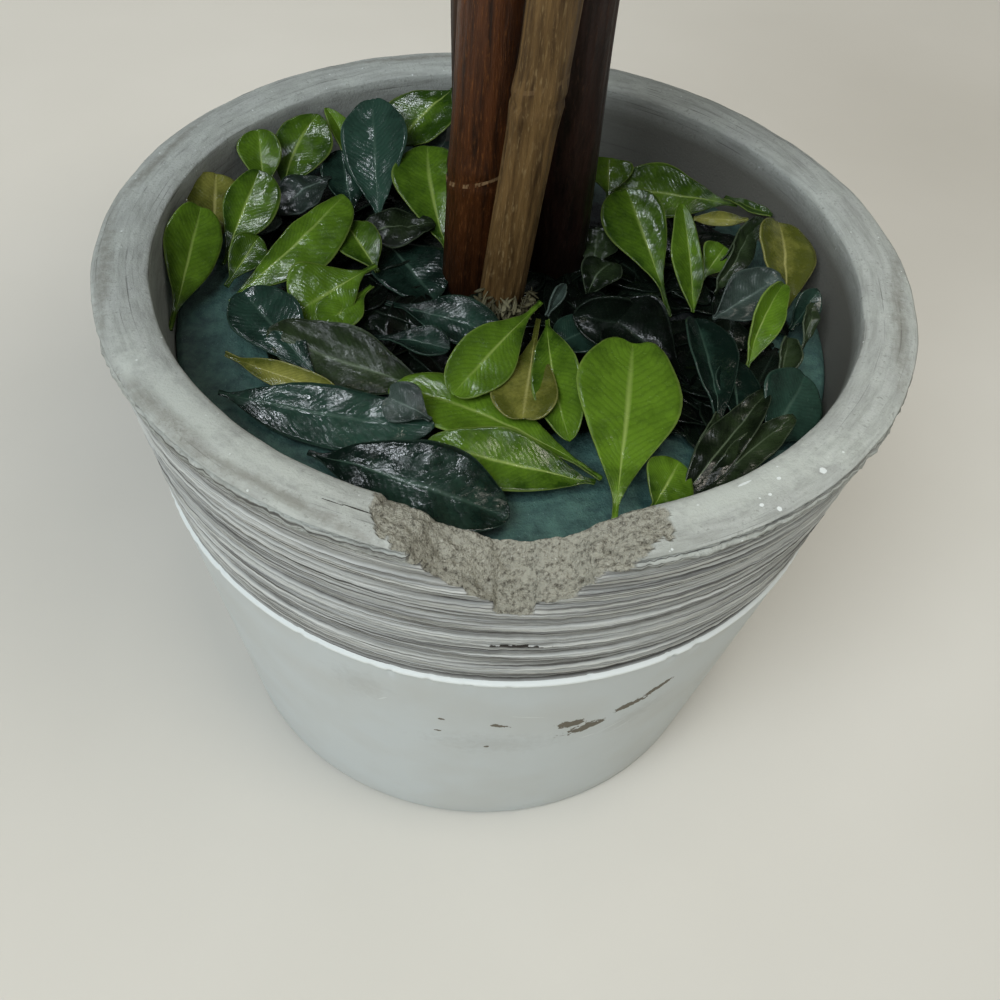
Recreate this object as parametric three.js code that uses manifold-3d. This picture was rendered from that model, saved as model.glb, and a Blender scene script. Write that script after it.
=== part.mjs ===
// A small lollipop topiary: a clipped ball of box leaves on a bundle of bare stems, which stand in
// a foam-filled cement pot with loose leaves lying over the foam. Millimetres, +Z up. The origin is
// the centre of the pot's flat underside, and the rim's broken place faces -Y.

import * as THREE from "three";
import { mergeVertices } from "three/addons/utils/BufferGeometryUtils.js";
import Module from "manifold-3d";

const wasm = await Module();
wasm.setup();

// Gap that touching pieces keep, and the distances under which points become one.
const CLEAR = 0.3;
const MERGE = 0.001;
const WELD = 0.02;

// Cement pot.
const RIM_RADIUS = 60;
const RIM_Z = 90.4;
const LIP_CROWN = 1;
const FOOT_RADIUS = 47;
const PAINT_RADIUS = 55;
const PAINT_Z = 58.5;
const PAINT_EDGE = 0.5;
const BAND_TOP_RADIUS = 58.2;
const BAND_TOP_Z = 84.5;
const GROOVES = 5;
const GROOVE_DEPTH = 0.6;
const MOUTH_RADIUS = 52;
const FLOOR_RADIUS = 41.5;
const FLOOR_Z = 8;
const POT_SIDES = 48;
const LIP_ROUND = [-35, 0, 35, 80, 120, 160];

// Broken place in the lip: its middle, its outline seen from the front, and how its bed slopes out.
const CHIP_ANGLE = THREE.MathUtils.degToRad(5);
const CHIP_OUTLINE = [
  [-18, 94], [-14, 89.5], [-10, 86.5], [-4, 84], [1, 82.6], [6, 83.8], [10, 86.5], [13, 90.5], [19, 94],
];
const CHIP_TOP = 99;
const CHIP_DEPTH = 26;
const CHIP_SLOPE = 0.55;

// Foam fill.
const FOAM_TOP = 79;
const FOAM_EDGE = 1.5;

// Stems: where each axis passes at the foam's bottom hold, the foam's top, the highest point in
// view and the hold in the ball, then its radius at the foot and at the top.
const STEM_SIDES = 10;
const STEM_ROWS = 24;
const STEM_HEIGHTS = [42, 80, 125, 266];
const STEMS = {
  stem_left: { path: [[-6.2, 4.4], [-5.9, 4.6], [-5.8, 5.6], [-5.2, 2.6]], foot: 4.6, top: 4.3, node: 100.5 },
  stem_middle: { path: [[-3.6, -3.4], [-1.3, -2.7], [2.2, -2], [4.6, -4.6]], foot: 3.3, top: 3.1, node: 116 },
  stem_right: { path: [[7.8, 18], [7.5, 13], [6.7, 6.6], [6.4, 6.2]], foot: 4.4, top: 4, node: 148 },
  stem_back: { path: [[-3.4, 14.6], [-5.4, 14], [-8, 14.9], [-6.6, 12.2]], foot: 4, top: 3.7, node: 160 },
};
const NODE_SWELL = 0.35;
const NODE_HALF_HEIGHT = 3;

// Clipped ball: its leaf tips end between the two clip radii.
const BALL_Z = 320;
const BALL_RADIUS = 80;
const CLIP_LOW = 73;
const CORE_RADIUS = 64;
const CORE_SIDES = 22;
const SPRIGS = 64;
const SPRIG_LEVELS = [2, 7];
const TWIG_RADIUS = 1;
const TWIG_SINK = 4;
const BALL_LEAF = { long: 23, wide: 14, thick: 0.9 };
const SEED = 22;

// Loose leaves on the foam. Each row is a leaf's foot, its tip, its width and how far it is rolled
// about its own length, in degrees.
const BED_THICK = 1.4;
const BED_INNER = 10;
const BED_OUTER = 27;
const STRIP_WIDE = 6;
const LEAF_THICK = 0.9;
const LITTER_CENTRE = [0, 6];
const LITTER = {
  fallen_leaves_front: {
    sector: [198, 312],
    leaves: [
      [[17, -42, 80.5], [18, -4, 86], 16, 0],
      [[15, -33, 80.5], [-9, -26, 84], 13, 10],
      [[14, -30, 81], [-16, -11, 83], 13, -8],
      [[5, 0, 88], [-9, -17, 84], 10, -10],
      [[6, -2, 87], [10, -23, 82], 9, 25],
      [[3, -4, 84], [0, -22, 82.5], 10, -5],
      [[-28, -35, 80.6], [0, -43, 81.4], 12, 5],
      [[-11, -30, 82.5], [-42, -21, 81], 12, -6],
    ],
  },
  fallen_leaves_left: {
    sector: [108, 197],
    leaves: [
      [[-47, -14, 80.4], [-48, 5, 87], 12, -38],
      [[-43, 3, 80.4], [-45, 20, 87], 11, -30],
      [[-43, 5, 80.6], [-42, 22, 87], 12, -20],
      [[-45, -2, 81], [-26, 21, 85], 11, 0],
      [[-37, 18, 81], [-39, 27, 89], 8, -20],
      [[-32, 17, 82], [-31, 31, 88], 12, 0],
      [[-39, -13, 80.6], [-12, -16, 83], 15, 8],
      [[-18, 0, 83.5], [-35, 0, 81.5], 13, 0],
      [[-36, -14, 80.8], [-40, 3, 83], 13, 10],
      [[-20, 16, 81.4], [-19, 34, 89], 13, 0],
      [[-26, 15, 81], [-12, 15, 81.6], 12, 0],
    ],
  },
  fallen_leaves_back: {
    sector: [20, 107],
    leaves: [
      [[-10, 11, 81], [-13, 28, 86], 12, 10],
      [[-4, 40, 86], [-19, 37, 84.5], 12, 20],
      [[20, 4, 81.6], [16, 25, 86], 12, -5],
      [[12, 36, 84.5], [40, 25, 84.6], 12, -25],
      [[27, 3, 82], [26, 23, 87.5], 9, 15],
      [[26, 9, 82], [31, 15, 84], 8, 0],
      [[10, 18, 82], [13, 33, 88], 8, 0],
      [[-2, 21, 81], [2, 43, 84.5], 12, 10],
      [[8, 24, 81.4], [26, 38, 84.5], 12, -12],
      [[-14, 24, 81], [-32, 33, 86], 11, 0],
    ],
  },
  fallen_leaves_right: {
    sector: [-47, 19],
    leaves: [
      [[34, -25, 81], [28, 0, 86], 15, 0],
      [[33, -26, 80.5], [14, 1, 84], 14, 10],
      [[44, -2, 82], [42, 21, 86], 12, 20],
      [[39, -10, 83], [43, 6, 86], 8, 20],
      [[31, 1, 83], [40, 11, 85], 10, 15],
      [[37, -28, 80.6], [44, -11, 84], 13, 15],
      [[28, -34, 80.6], [37, -15, 83.5], 6, 20],
    ],
  },
};

const UP = new THREE.Vector3(0, 0, 1);

// Plain finishes.
const cement = new THREE.MeshStandardMaterial({ color: 0xb9bcba, roughness: 0.85, metalness: 0 });
const foam = new THREE.MeshStandardMaterial({ color: 0x2b4646, roughness: 0.95, metalness: 0 });
const redBark = new THREE.MeshStandardMaterial({ color: 0x5b3420, roughness: 0.45, metalness: 0 });
const tanBark = new THREE.MeshStandardMaterial({ color: 0x8a6a44, roughness: 0.6, metalness: 0 });
const darkBark = new THREE.MeshStandardMaterial({ color: 0x3a241b, roughness: 0.5, metalness: 0 });
const leafGreen = new THREE.MeshStandardMaterial({ color: 0x5c8a2c, roughness: 0.4, metalness: 0 });
const driedGreen = new THREE.MeshStandardMaterial({ color: 0x40602c, roughness: 0.4, metalness: 0 });
const ballGreen = new THREE.MeshStandardMaterial({ color: 0x4a7428, roughness: 0.5, metalness: 0 });

// Solids are joined and cut on closed meshes whose shared vertices are merged.
function solid(geometry) {
  geometry.deleteAttribute("normal");
  geometry.deleteAttribute("uv");
  const merged = mergeVertices(geometry, MERGE);
  return new wasm.Manifold(new wasm.Mesh({
    numProp: 3,
    vertProperties: new Float32Array(merged.attributes.position.array),
    triVerts: new Uint32Array(merged.index.array),
  }));
}

function geometryOf(body) {
  const result = body.getMesh();
  const geometry = new THREE.BufferGeometry();
  geometry.setAttribute("position", new THREE.BufferAttribute(new Float32Array(result.vertProperties), 3));
  geometry.setIndex(new THREE.BufferAttribute(new Uint32Array(result.triVerts), 1));
  return geometry;
}

// Of a joined body only the main shell is kept: scraps and sealed hollows are left out.
function largest(body) {
  const parts = solid(geometryOf(body.simplify(WELD))).decompose();
  parts.sort((a, b) => b.volume() - a.volume());
  return parts[0];
}

function mesh(name, body, material) {
  const geometry = geometryOf(body);
  geometry.computeVertexNormals();
  const piece = new THREE.Mesh(geometry, material);
  piece.name = name;
  return piece;
}

function seeded(seed) {
  let state = seed;
  return () => {
    state = (state * 1664525 + 1013904223) % 4294967296;
    return state / 4294967296;
  };
}

function turned(profile, sides) {
  const points = profile.map(([radius, z]) => new THREE.Vector2(radius, z));
  return solid(new THREE.LatheGeometry(points, sides).rotateX(Math.PI / 2));
}

// The pot's inner wall leans out evenly from its floor to its mouth.
function wallRadius(z) {
  const share = (z - FLOOR_Z) / (RIM_Z - FLOOR_Z);
  return FLOOR_RADIUS + (MOUTH_RADIUS - FLOOR_RADIUS) * share;
}

function potProfile() {
  const profile = [[0, 0], [FOOT_RADIUS - 1, 0], [FOOT_RADIUS, 1], [PAINT_RADIUS + PAINT_EDGE, PAINT_Z]];
  const pitch = (BAND_TOP_Z - PAINT_Z) / GROOVES;
  for (let i = 0; i < GROOVES; i += 1) {
    const z = PAINT_Z + pitch * i;
    const radius = PAINT_RADIUS + ((BAND_TOP_RADIUS - PAINT_RADIUS) * i) / GROOVES;
    profile.push([radius - GROOVE_DEPTH, z + pitch * 0.2], [radius, z + pitch * 0.55]);
  }
  profile.push([BAND_TOP_RADIUS - GROOVE_DEPTH, BAND_TOP_Z]);
  const middle = (RIM_RADIUS + MOUTH_RADIUS) / 2;
  const half = (RIM_RADIUS - MOUTH_RADIUS) / 2;
  for (const degrees of LIP_ROUND) {
    const angle = THREE.MathUtils.degToRad(degrees);
    const height = degrees < 0 ? BAND_TOP_Z + 1.2 : RIM_Z + LIP_CROWN * Math.sin(angle);
    profile.push([middle + half * Math.cos(angle), height]);
  }
  profile.push([FLOOR_RADIUS, FLOOR_Z], [0, FLOOR_Z]);
  return profile;
}

// The piece broken out of the lip: its outline pushed inward through the wall, sloping up as it goes.
function chip() {
  const outline = new THREE.Shape();
  outline.moveTo(CHIP_OUTLINE[0][0], CHIP_TOP);
  for (const [across, z] of CHIP_OUTLINE) {
    outline.lineTo(across, z);
  }
  outline.lineTo(CHIP_OUTLINE.at(-1)[0], CHIP_TOP);
  outline.closePath();
  const geometry = new THREE.ExtrudeGeometry(outline, { depth: CHIP_DEPTH, steps: 1, bevelEnabled: false });
  geometry.rotateX(Math.PI / 2);
  const place = geometry.attributes.position;
  const middle = (RIM_RADIUS + MOUTH_RADIUS) / 2;
  for (let i = 0; i < place.count; i += 1) {
    const inward = place.getY(i) + CHIP_DEPTH / 2;
    place.setY(i, inward - middle);
    place.setZ(i, place.getZ(i) + inward * CHIP_SLOPE);
  }
  geometry.rotateZ(CHIP_ANGLE);
  return solid(geometry);
}

function stemRadius(stem, z) {
  const share = (z - STEM_HEIGHTS[0]) / (STEM_HEIGHTS.at(-1) - STEM_HEIGHTS[0]);
  const swell = Math.max(0, 1 - Math.abs(z - stem.node) / NODE_HALF_HEIGHT);
  return THREE.MathUtils.lerp(stem.foot, stem.top, share) + NODE_SWELL * swell;
}

// A stem is a closed cylinder whose rows are moved onto its own line; extra is how much it is
// grown on every side, for the socket that it stands in.
function stemBody(stem, extra) {
  const low = STEM_HEIGHTS[0] - extra;
  const high = STEM_HEIGHTS.at(-1) + extra;
  const path = new THREE.CatmullRomCurve3(
    stem.path.map(([x, y], i) => new THREE.Vector3(x, y, STEM_HEIGHTS[i])), false, "centripetal");
  const lookup = path.getPoints(120);
  const geometry = new THREE.CylinderGeometry(1, 1, high - low, STEM_SIDES, STEM_ROWS);
  geometry.rotateX(Math.PI / 2);
  geometry.translate(0, 0, (low + high) / 2);
  const place = geometry.attributes.position;
  for (let i = 0; i < place.count; i += 1) {
    const z = place.getZ(i);
    const row = lookup.find((point) => point.z >= z) ?? lookup.at(-1);
    const radius = stemRadius(stem, z) + extra;
    place.setX(i, row.x + place.getX(i) * radius);
    place.setY(i, row.y + place.getY(i) * radius);
  }
  return solid(geometry);
}

// A leaf is a flattened sphere of few faces, pointed at both ends and widest past its middle. Its
// face looks along level, and it is rolled about its own length from there.
function leafBody({ foot, tip, width, thick, roll = 0, arch = 0, level = UP, rings = 4 }) {
  const start = new THREE.Vector3(...foot);
  const along = new THREE.Vector3(...tip).sub(start);
  const length = along.length();
  along.normalize();
  const side = new THREE.Vector3().crossVectors(along, level);
  side.normalize().applyAxisAngle(along, THREE.MathUtils.degToRad(roll));
  const up = new THREE.Vector3().crossVectors(side, along);
  const geometry = new THREE.SphereGeometry(1, 4, rings);
  const place = geometry.attributes.position;
  for (let i = 0; i < place.count; i += 1) {
    const share = (1 + place.getY(i)) / 2;
    const broad = 0.85 + 0.3 * share;
    const point = start.clone()
      .addScaledVector(along, length * share)
      .addScaledVector(side, (place.getX(i) * broad * width) / 2)
      .addScaledVector(up, (place.getZ(i) * thick) / 2 + 4 * arch * share * (1 - share));
    place.setXYZ(i, point.x, point.y, point.z);
  }
  return solid(geometry);
}

// One sector of the space round the stems, kept half a gap inside its own two sides.
function sectorBody([from, to], inner, outer, low, high) {
  const steps = Math.ceil((to - from) / 12);
  const ring = (radius, i) => {
    const inset = THREE.MathUtils.radToDeg(CLEAR / 2 / radius);
    const angle = THREE.MathUtils.lerp(from + inset, to - inset, i / steps);
    return [
      LITTER_CENTRE[0] + radius * Math.cos(THREE.MathUtils.degToRad(angle)),
      LITTER_CENTRE[1] + radius * Math.sin(THREE.MathUtils.degToRad(angle)),
    ];
  };
  const outline = new THREE.Shape();
  outline.moveTo(...ring(inner, 0));
  for (let i = 0; i <= steps; i += 1) {
    outline.lineTo(...ring(outer, i));
  }
  for (let i = steps; i > 0; i -= 1) {
    outline.lineTo(...ring(inner, i));
  }
  outline.closePath();
  const geometry = new THREE.ExtrudeGeometry(outline, { depth: high - low, steps: 1, bevelEnabled: false });
  return solid(geometry.translate(0, 0, low));
}

// The bed runs on as a strip to a leaf's foot, and a short stalk rises from it into the leaf.
function stripBody([x, y, z], bedLow) {
  const aside = [x - LITTER_CENTRE[0], y - LITTER_CENTRE[1]];
  const reach = Math.hypot(...aside);
  const far = reach + 1;
  const near = Math.min(BED_OUTER - 4, reach - 3);
  const strip = new THREE.BoxGeometry(far - near, STRIP_WIDE, BED_THICK);
  strip.translate((far + near) / 2, 0, bedLow + BED_THICK / 2);
  strip.rotateZ(Math.atan2(aside[1], aside[0]));
  strip.translate(LITTER_CENTRE[0], LITTER_CENTRE[1], 0);
  const rise = Math.max(z + 0.4 - bedLow, BED_THICK);
  const stalk = new THREE.CylinderGeometry(0.9, 1.2, rise, 5).rotateX(Math.PI / 2);
  return [solid(strip), solid(stalk.translate(x, y, bedLow + rise / 2))];
}

// Loose leaves of one sector, held together by a thin bed and cut clear of the pot and the stems.
function litterBody({ sector, leaves }, potSpace, stemSpace) {
  const bedLow = FOAM_TOP + CLEAR;
  const bed = sectorBody(sector, BED_INNER, BED_OUTER, bedLow, bedLow + BED_THICK);
  const blades = leaves.flatMap(([foot, tip, width, roll]) => [
    leafBody({ foot, tip, width, roll, thick: LEAF_THICK, arch: 1, rings: 5 }),
    ...stripBody(foot, bedLow),
  ]);
  const space = sectorBody(sector, 3, RIM_RADIUS, bedLow, RIM_Z + LIP_CROWN)
    .intersect(potSpace)
    .subtract(stemSpace);
  return largest(wasm.Manifold.union([bed, ...blades]).intersect(space));
}

// How far a leaf leans from its sprig so that its tip ends at the clipped radius.
function leanTo(footRadius, tipRadius, long) {
  const cosine = (tipRadius ** 2 - footRadius ** 2 - long ** 2) / (2 * footRadius * long);
  return Math.acos(THREE.MathUtils.clamp(cosine, -1, 1));
}

// One sprig: a short twig that stands out of the core, with opposite pairs of leaves.
function sprigBodies(centre, out, random) {
  const stand = new THREE.Quaternion().setFromUnitVectors(new THREE.Vector3(0, 1, 0), out);
  const reach = SPRIG_LEVELS.at(-1) + TWIG_SINK;
  const root = centre.clone().addScaledVector(out, CORE_RADIUS - TWIG_SINK + reach / 2);
  const twig = new THREE.CylinderGeometry(TWIG_RADIUS * 0.7, TWIG_RADIUS, reach, 3);
  const bodies = [solid(twig.applyQuaternion(stand).translate(root.x, root.y, root.z))];
  const across = new THREE.Vector3(1, 0, 0).applyQuaternion(stand);
  let spin = random() * Math.PI;
  for (const level of SPRIG_LEVELS) {
    for (const half of [0, Math.PI]) {
      const aside = across.clone().applyAxisAngle(out, spin + half);
      const long = BALL_LEAF.long * (0.85 + 0.3 * random());
      const tipRadius = THREE.MathUtils.lerp(CLIP_LOW, BALL_RADIUS, random());
      const lean = leanTo(CORE_RADIUS + level, tipRadius, long);
      const roll = 50 * (random() - 0.5);
      const foot = centre.clone().addScaledVector(out, CORE_RADIUS + level).addScaledVector(aside, -0.4);
      const tip = foot.clone()
        .addScaledVector(out, long * Math.cos(lean))
        .addScaledVector(aside, long * Math.sin(lean));
      const width = BALL_LEAF.wide;
      bodies.push(leafBody({
        foot: foot.toArray(), tip: tip.toArray(), width, thick: BALL_LEAF.thick, roll, level: out, rings: 2,
      }));
    }
    spin += Math.PI / 2;
  }
  return bodies;
}

// The ball: a core that the stems enter, and sprigs that stand out of it evenly all over.
function ballBody(stemSpace) {
  const random = seeded(SEED);
  const centre = new THREE.Vector3(0, 0, BALL_Z);
  const core = new THREE.SphereGeometry(CORE_RADIUS, CORE_SIDES, CORE_SIDES / 2);
  const parts = [solid(core.rotateX(Math.PI / 2).translate(0, 0, BALL_Z))];
  const turn = Math.PI * (3 - Math.sqrt(5));
  for (let i = 0; i < SPRIGS; i += 1) {
    const height = 1 - (2 * (i + 0.5)) / SPRIGS;
    const spread = Math.sqrt(1 - height * height);
    const out = new THREE.Vector3(Math.cos(turn * i) * spread, Math.sin(turn * i) * spread, height);
    out.x += (random() - 0.5) * 0.12;
    out.y += (random() - 0.5) * 0.12;
    parts.push(...sprigBodies(centre, out.normalize(), random));
  }
  return largest(wasm.Manifold.union(parts).subtract(stemSpace));
}

// What goes together: pot, foam, stems, loose leaves and ball.
const stemSpace = wasm.Manifold.union(Object.values(STEMS).map((stem) => stemBody(stem, CLEAR)));
const foamBody = turned([
  [0, FLOOR_Z + CLEAR],
  [wallRadius(FLOOR_Z) - CLEAR, FLOOR_Z + CLEAR],
  [wallRadius(FOAM_TOP) - CLEAR, FOAM_TOP - FOAM_EDGE],
  [wallRadius(FOAM_TOP) - CLEAR - FOAM_EDGE, FOAM_TOP],
  [0, FOAM_TOP],
], POT_SIDES).subtract(stemSpace);
const potSpace = turned([
  [0, FOAM_TOP],
  [wallRadius(FOAM_TOP) - 2 * CLEAR, FOAM_TOP],
  [wallRadius(RIM_Z) - 2 * CLEAR, RIM_Z],
  [wallRadius(RIM_Z) - 2 * CLEAR, RIM_Z + LIP_CROWN],
  [0, RIM_Z + LIP_CROWN],
], POT_SIDES);

const topiary = new THREE.Group();
topiary.add(mesh("pot", largest(turned(potProfile(), POT_SIDES).subtract(chip())), cement));
topiary.add(mesh("foam_fill", largest(foamBody), foam));
const barks = { stem_left: redBark, stem_middle: tanBark, stem_right: darkBark, stem_back: darkBark };
for (const [name, stem] of Object.entries(STEMS)) {
  topiary.add(mesh(name, stemBody(stem, 0), barks[name]));
}
for (const [name, group] of Object.entries(LITTER)) {
  const shade = name.endsWith("right") ? driedGreen : leafGreen;
  topiary.add(mesh(name, litterBody(group, potSpace, stemSpace), shade));
}
topiary.add(mesh("clipped_ball", ballBody(stemSpace), ballGreen));

export default topiary;
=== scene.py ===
import math

import bpy
import numpy as np
from mathutils import Matrix, Vector, noise


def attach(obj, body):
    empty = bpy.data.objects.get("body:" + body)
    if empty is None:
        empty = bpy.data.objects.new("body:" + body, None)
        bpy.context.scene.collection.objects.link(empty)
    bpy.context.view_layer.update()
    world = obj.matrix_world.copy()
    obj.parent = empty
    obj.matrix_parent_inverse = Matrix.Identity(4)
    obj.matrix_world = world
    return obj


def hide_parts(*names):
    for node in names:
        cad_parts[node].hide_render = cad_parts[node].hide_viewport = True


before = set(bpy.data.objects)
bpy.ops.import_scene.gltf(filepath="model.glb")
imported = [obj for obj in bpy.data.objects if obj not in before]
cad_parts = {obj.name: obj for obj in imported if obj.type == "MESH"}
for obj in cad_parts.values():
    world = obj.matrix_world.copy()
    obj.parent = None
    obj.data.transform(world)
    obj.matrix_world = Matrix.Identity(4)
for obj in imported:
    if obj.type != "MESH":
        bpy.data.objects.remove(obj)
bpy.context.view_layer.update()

# Cement pot
# A small pot cast in light cement: a plain rounded lip, a band that was combed while the cement
# was green, and white paint brushed on below it up to a masked edge. A piece of the lip has
# broken off at the front, and shows the coarse inside of the casting.
MM = 0.001
RIM_RADIUS = 60
RIM_Z = 90.4
LIP_CROWN = 1
FOOT_RADIUS = 47
FOOT_ROUND = 1.5
PAINT_RADIUS = 55
PAINT_Z = 58.5
BAND_TOP_RADIUS = 59
BAND_TOP_Z = 88
MOUTH_RADIUS = 52
FLOOR_RADIUS = 41.5
FLOOR_Z = 8
LIP_MIDDLE = (RIM_RADIUS + MOUTH_RADIUS) / 2
LIP_HALF = (RIM_RADIUS - MOUTH_RADIUS) / 2
POT_COLUMNS = 440
FRONT_CROWDING = 0.55

# Comb lines: how many, how deep and wide each is, and how far it wanders as it goes round.
COMB_LINES = 52
COMB_DEPTH = (0.15, 0.65)
COMB_WIDTH = (0.13, 0.26)
COMB_WANDER = 0.42
RIDGE_PITCH = 4.1
RIDGE_HEIGHT = 0.2

# Bed of the broken place: heights of its inner and outer edge, by degrees from the front, and how
# many rows of the inner wall it can reach.
BREAK_INNER = [(-18, 95), (-15.4, 91.6), (-14.4, 90.8), (-11.5, 89.6), (-9.2, 89.2), (-6.2, 87.7),
               (0, 85.9), (6, 84.8), (11, 86.2), (15, 88.2), (19, 89.8), (23, 90.7), (24.4, 91.6),
               (27, 95)]
BREAK_OUTER = [(-18, 96), (-14.6, 92.4), (-12.3, 91.5), (-10, 91.2), (-8.4, 90.4), (-7, 88.7), (-5.2, 85.7),
               (-3.7, 85), (-0.6, 82.6), (1.6, 80.8), (2.4, 78.2), (4.6, 77.6), (6.8, 78.2), (7.3, 81.2),
               (11.6, 83), (12.8, 85.2), (13.5, 87.6), (16.4, 89), (17.8, 90.6), (20, 91.3), (22.3, 91.8),
               (24.4, 92.6), (27, 96)]
BREAK_INNER_RADIUS = 51.5
BREAK_OUTER_RADIUS = 58.6
BREAK_WALL_ROWS = 8


def linear(code):
    """An sRGB hex colour as linear RGBA."""
    channels = [int(code[i:i + 2], 16) / 255 for i in (1, 3, 5)]
    return tuple(c / 12.92 if c <= 0.04045 else ((c + 0.055) / 1.055) ** 2.4 for c in channels) + (1,)


def fill_inputs(tree, node, inputs):
    """Fills inputs of a node with values, with outputs, or with other nodes, which stand for the
    first of their outputs that is in use."""
    for key, value in inputs.items():
        if isinstance(value, bpy.types.Node):
            value = next(output for output in value.outputs if output.enabled)
        if isinstance(value, bpy.types.NodeSocket):
            tree.links.new(value, node.inputs[key])
        else:
            node.inputs[key].default_value = value


def add_node(tree, kind, inputs, **settings):
    """Adds a shader node, sets its properties and fills its inputs."""
    made = tree.nodes.new("ShaderNode" + kind)
    for key, value in settings.items():
        setattr(made, key, value)
    fill_inputs(tree, made, inputs)
    return made


def laid_over(tree, colour, layers):
    """A colour with others laid over it in turn, each by its share."""
    for share, over in layers:
        colour = add_node(tree, "Mix", {0: share, 6: colour, 7: over}, data_type="RGBA")
    return colour


def new_material(name):
    """A material, its node tree, its shader, and the place on the object in millimetres."""
    material = bpy.data.materials.new(name)
    material.use_nodes = True
    tree = material.node_tree
    shader = tree.nodes["Principled BSDF"]
    place = add_node(tree, "TexCoord", {})
    in_mm = add_node(tree, "VectorMath", {0: place.outputs["Object"], "Scale": 1 / MM}, operation="SCALE")
    return material, tree, shader, in_mm


def rough(points, size, octaves=1):
    """Smooth noise from -1 to 1 at each point, with features of about that size."""
    cells = np.asarray(points, float) / size
    shape = cells.shape[:-1]
    values = [noise.fractal(Vector(cell), 1, 2, octaves) for cell in cells.reshape(-1, 3)]
    return np.clip(np.array(values), -1, 1).reshape(shape)


def select_none():
    """Nothing is selected, so that an operator acts on new work alone."""
    if bpy.context.object and bpy.context.object.mode != "OBJECT":
        bpy.ops.object.mode_set(mode="OBJECT")
    bpy.ops.object.select_all(action="DESELECT")


def finish_piece(piece, material, body="root"):
    """Gives a piece its material and smooth faces, and lets it ride on the body."""
    piece.data.materials.clear()
    piece.data.materials.append(material)
    piece.data.polygons.foreach_set("use_smooth", np.ones(len(piece.data.polygons), bool))
    piece.data.update()
    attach(piece, body)


def arc(centre, radii, start, end, steps):
    """Points on an ellipse, from one angle to another in degrees."""
    turns = np.radians(np.linspace(start, end, steps))
    return [(centre[0] + radii[0] * math.cos(t), centre[1] + radii[1] * math.sin(t)) for t in turns]


def straight(start, end, steps):
    """Points on a line, without its first one."""
    shares = np.linspace(0, 1, steps + 1)[1:]
    return [(start[0] + (end[0] - start[0]) * s, start[1] + (end[1] - start[1]) * s) for s in shares]


def get_points(piece):
    """Where the points of a piece are, in millimetres."""
    places = np.empty(len(piece.data.vertices) * 3)
    piece.data.vertices.foreach_get("co", places)
    return places.reshape(-1, 3) / MM


def set_points(piece, places):
    """Moves every point of a piece to its place, given in millimetres."""
    piece.data.vertices.foreach_set("co", (np.asarray(places) * MM).ravel())
    piece.data.update()


def edge_ends(piece):
    """The two points of each edge of a piece, the lower number first."""
    ends = np.empty(len(piece.data.edges) * 2, np.int32)
    piece.data.edges.foreach_get("vertices", ends)
    return np.sort(ends.reshape(-1, 2), axis=1)


def select_edges(piece, chosen):
    """Selects the chosen edges of a piece, which is then in edit mode."""
    bpy.ops.object.mode_set(mode="EDIT")
    bpy.ops.mesh.select_mode(type="EDGE")
    bpy.ops.mesh.select_all(action="DESELECT")
    bpy.ops.object.mode_set(mode="OBJECT")
    piece.data.edges.foreach_set("select", chosen)
    bpy.ops.object.mode_set(mode="EDIT")


def spun(name, outline, columns):
    """Spins an outline of (radius, height) about the vertical axis, and returns the piece with the
    ring and the column of each of its points."""
    select_none()
    bpy.ops.mesh.primitive_circle_add(vertices=len(outline), radius=MM)
    piece = bpy.context.object
    piece.name = name
    piece.data.name = name
    set_points(piece, [(r, 0, z) for r, z in outline])
    ring = piece.data.attributes.new("ring", "FLOAT", "POINT")
    ring.data.foreach_set("value", np.arange(len(outline), dtype=float))
    ends = edge_ends(piece)
    select_edges(piece, ends[:, 1] - ends[:, 0] == len(outline) - 1)
    bpy.ops.mesh.delete(type="EDGE_FACE")
    bpy.ops.mesh.select_mode(type="VERT")
    bpy.ops.mesh.select_all(action="SELECT")
    bpy.ops.mesh.spin(steps=columns, angle=2 * math.pi, center=(0, 0, 0), axis=(0, 0, 1))
    bpy.ops.mesh.select_all(action="SELECT")
    bpy.ops.mesh.remove_doubles(threshold=MM / 1000)
    bpy.ops.mesh.normals_make_consistent(inside=False)
    bpy.ops.object.mode_set(mode="OBJECT")
    place = get_points(piece)
    rings = np.empty(len(place))
    piece.data.attributes["ring"].data.foreach_get("value", rings)
    turns = np.arctan2(place[:, 1], place[:, 0]) / (2 * math.pi) * columns
    piece.data.attributes.remove(piece.data.attributes["ring"])
    return piece, rings.round().astype(int), turns.round().astype(int) % columns


def add_values(piece, name, values):
    """Keeps one number for each point of a piece, for its material to read."""
    layer = piece.data.attributes.new(name, "FLOAT", "POINT")
    layer.data.foreach_set("value", np.asarray(values, float).ravel())


def wall_radius(z):
    """The pot's inner wall leans out evenly from its floor to its mouth."""
    return FLOOR_RADIUS + (MOUTH_RADIUS - FLOOR_RADIUS) * (z - FLOOR_Z) / (RIM_Z - FLOOR_Z)


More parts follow.
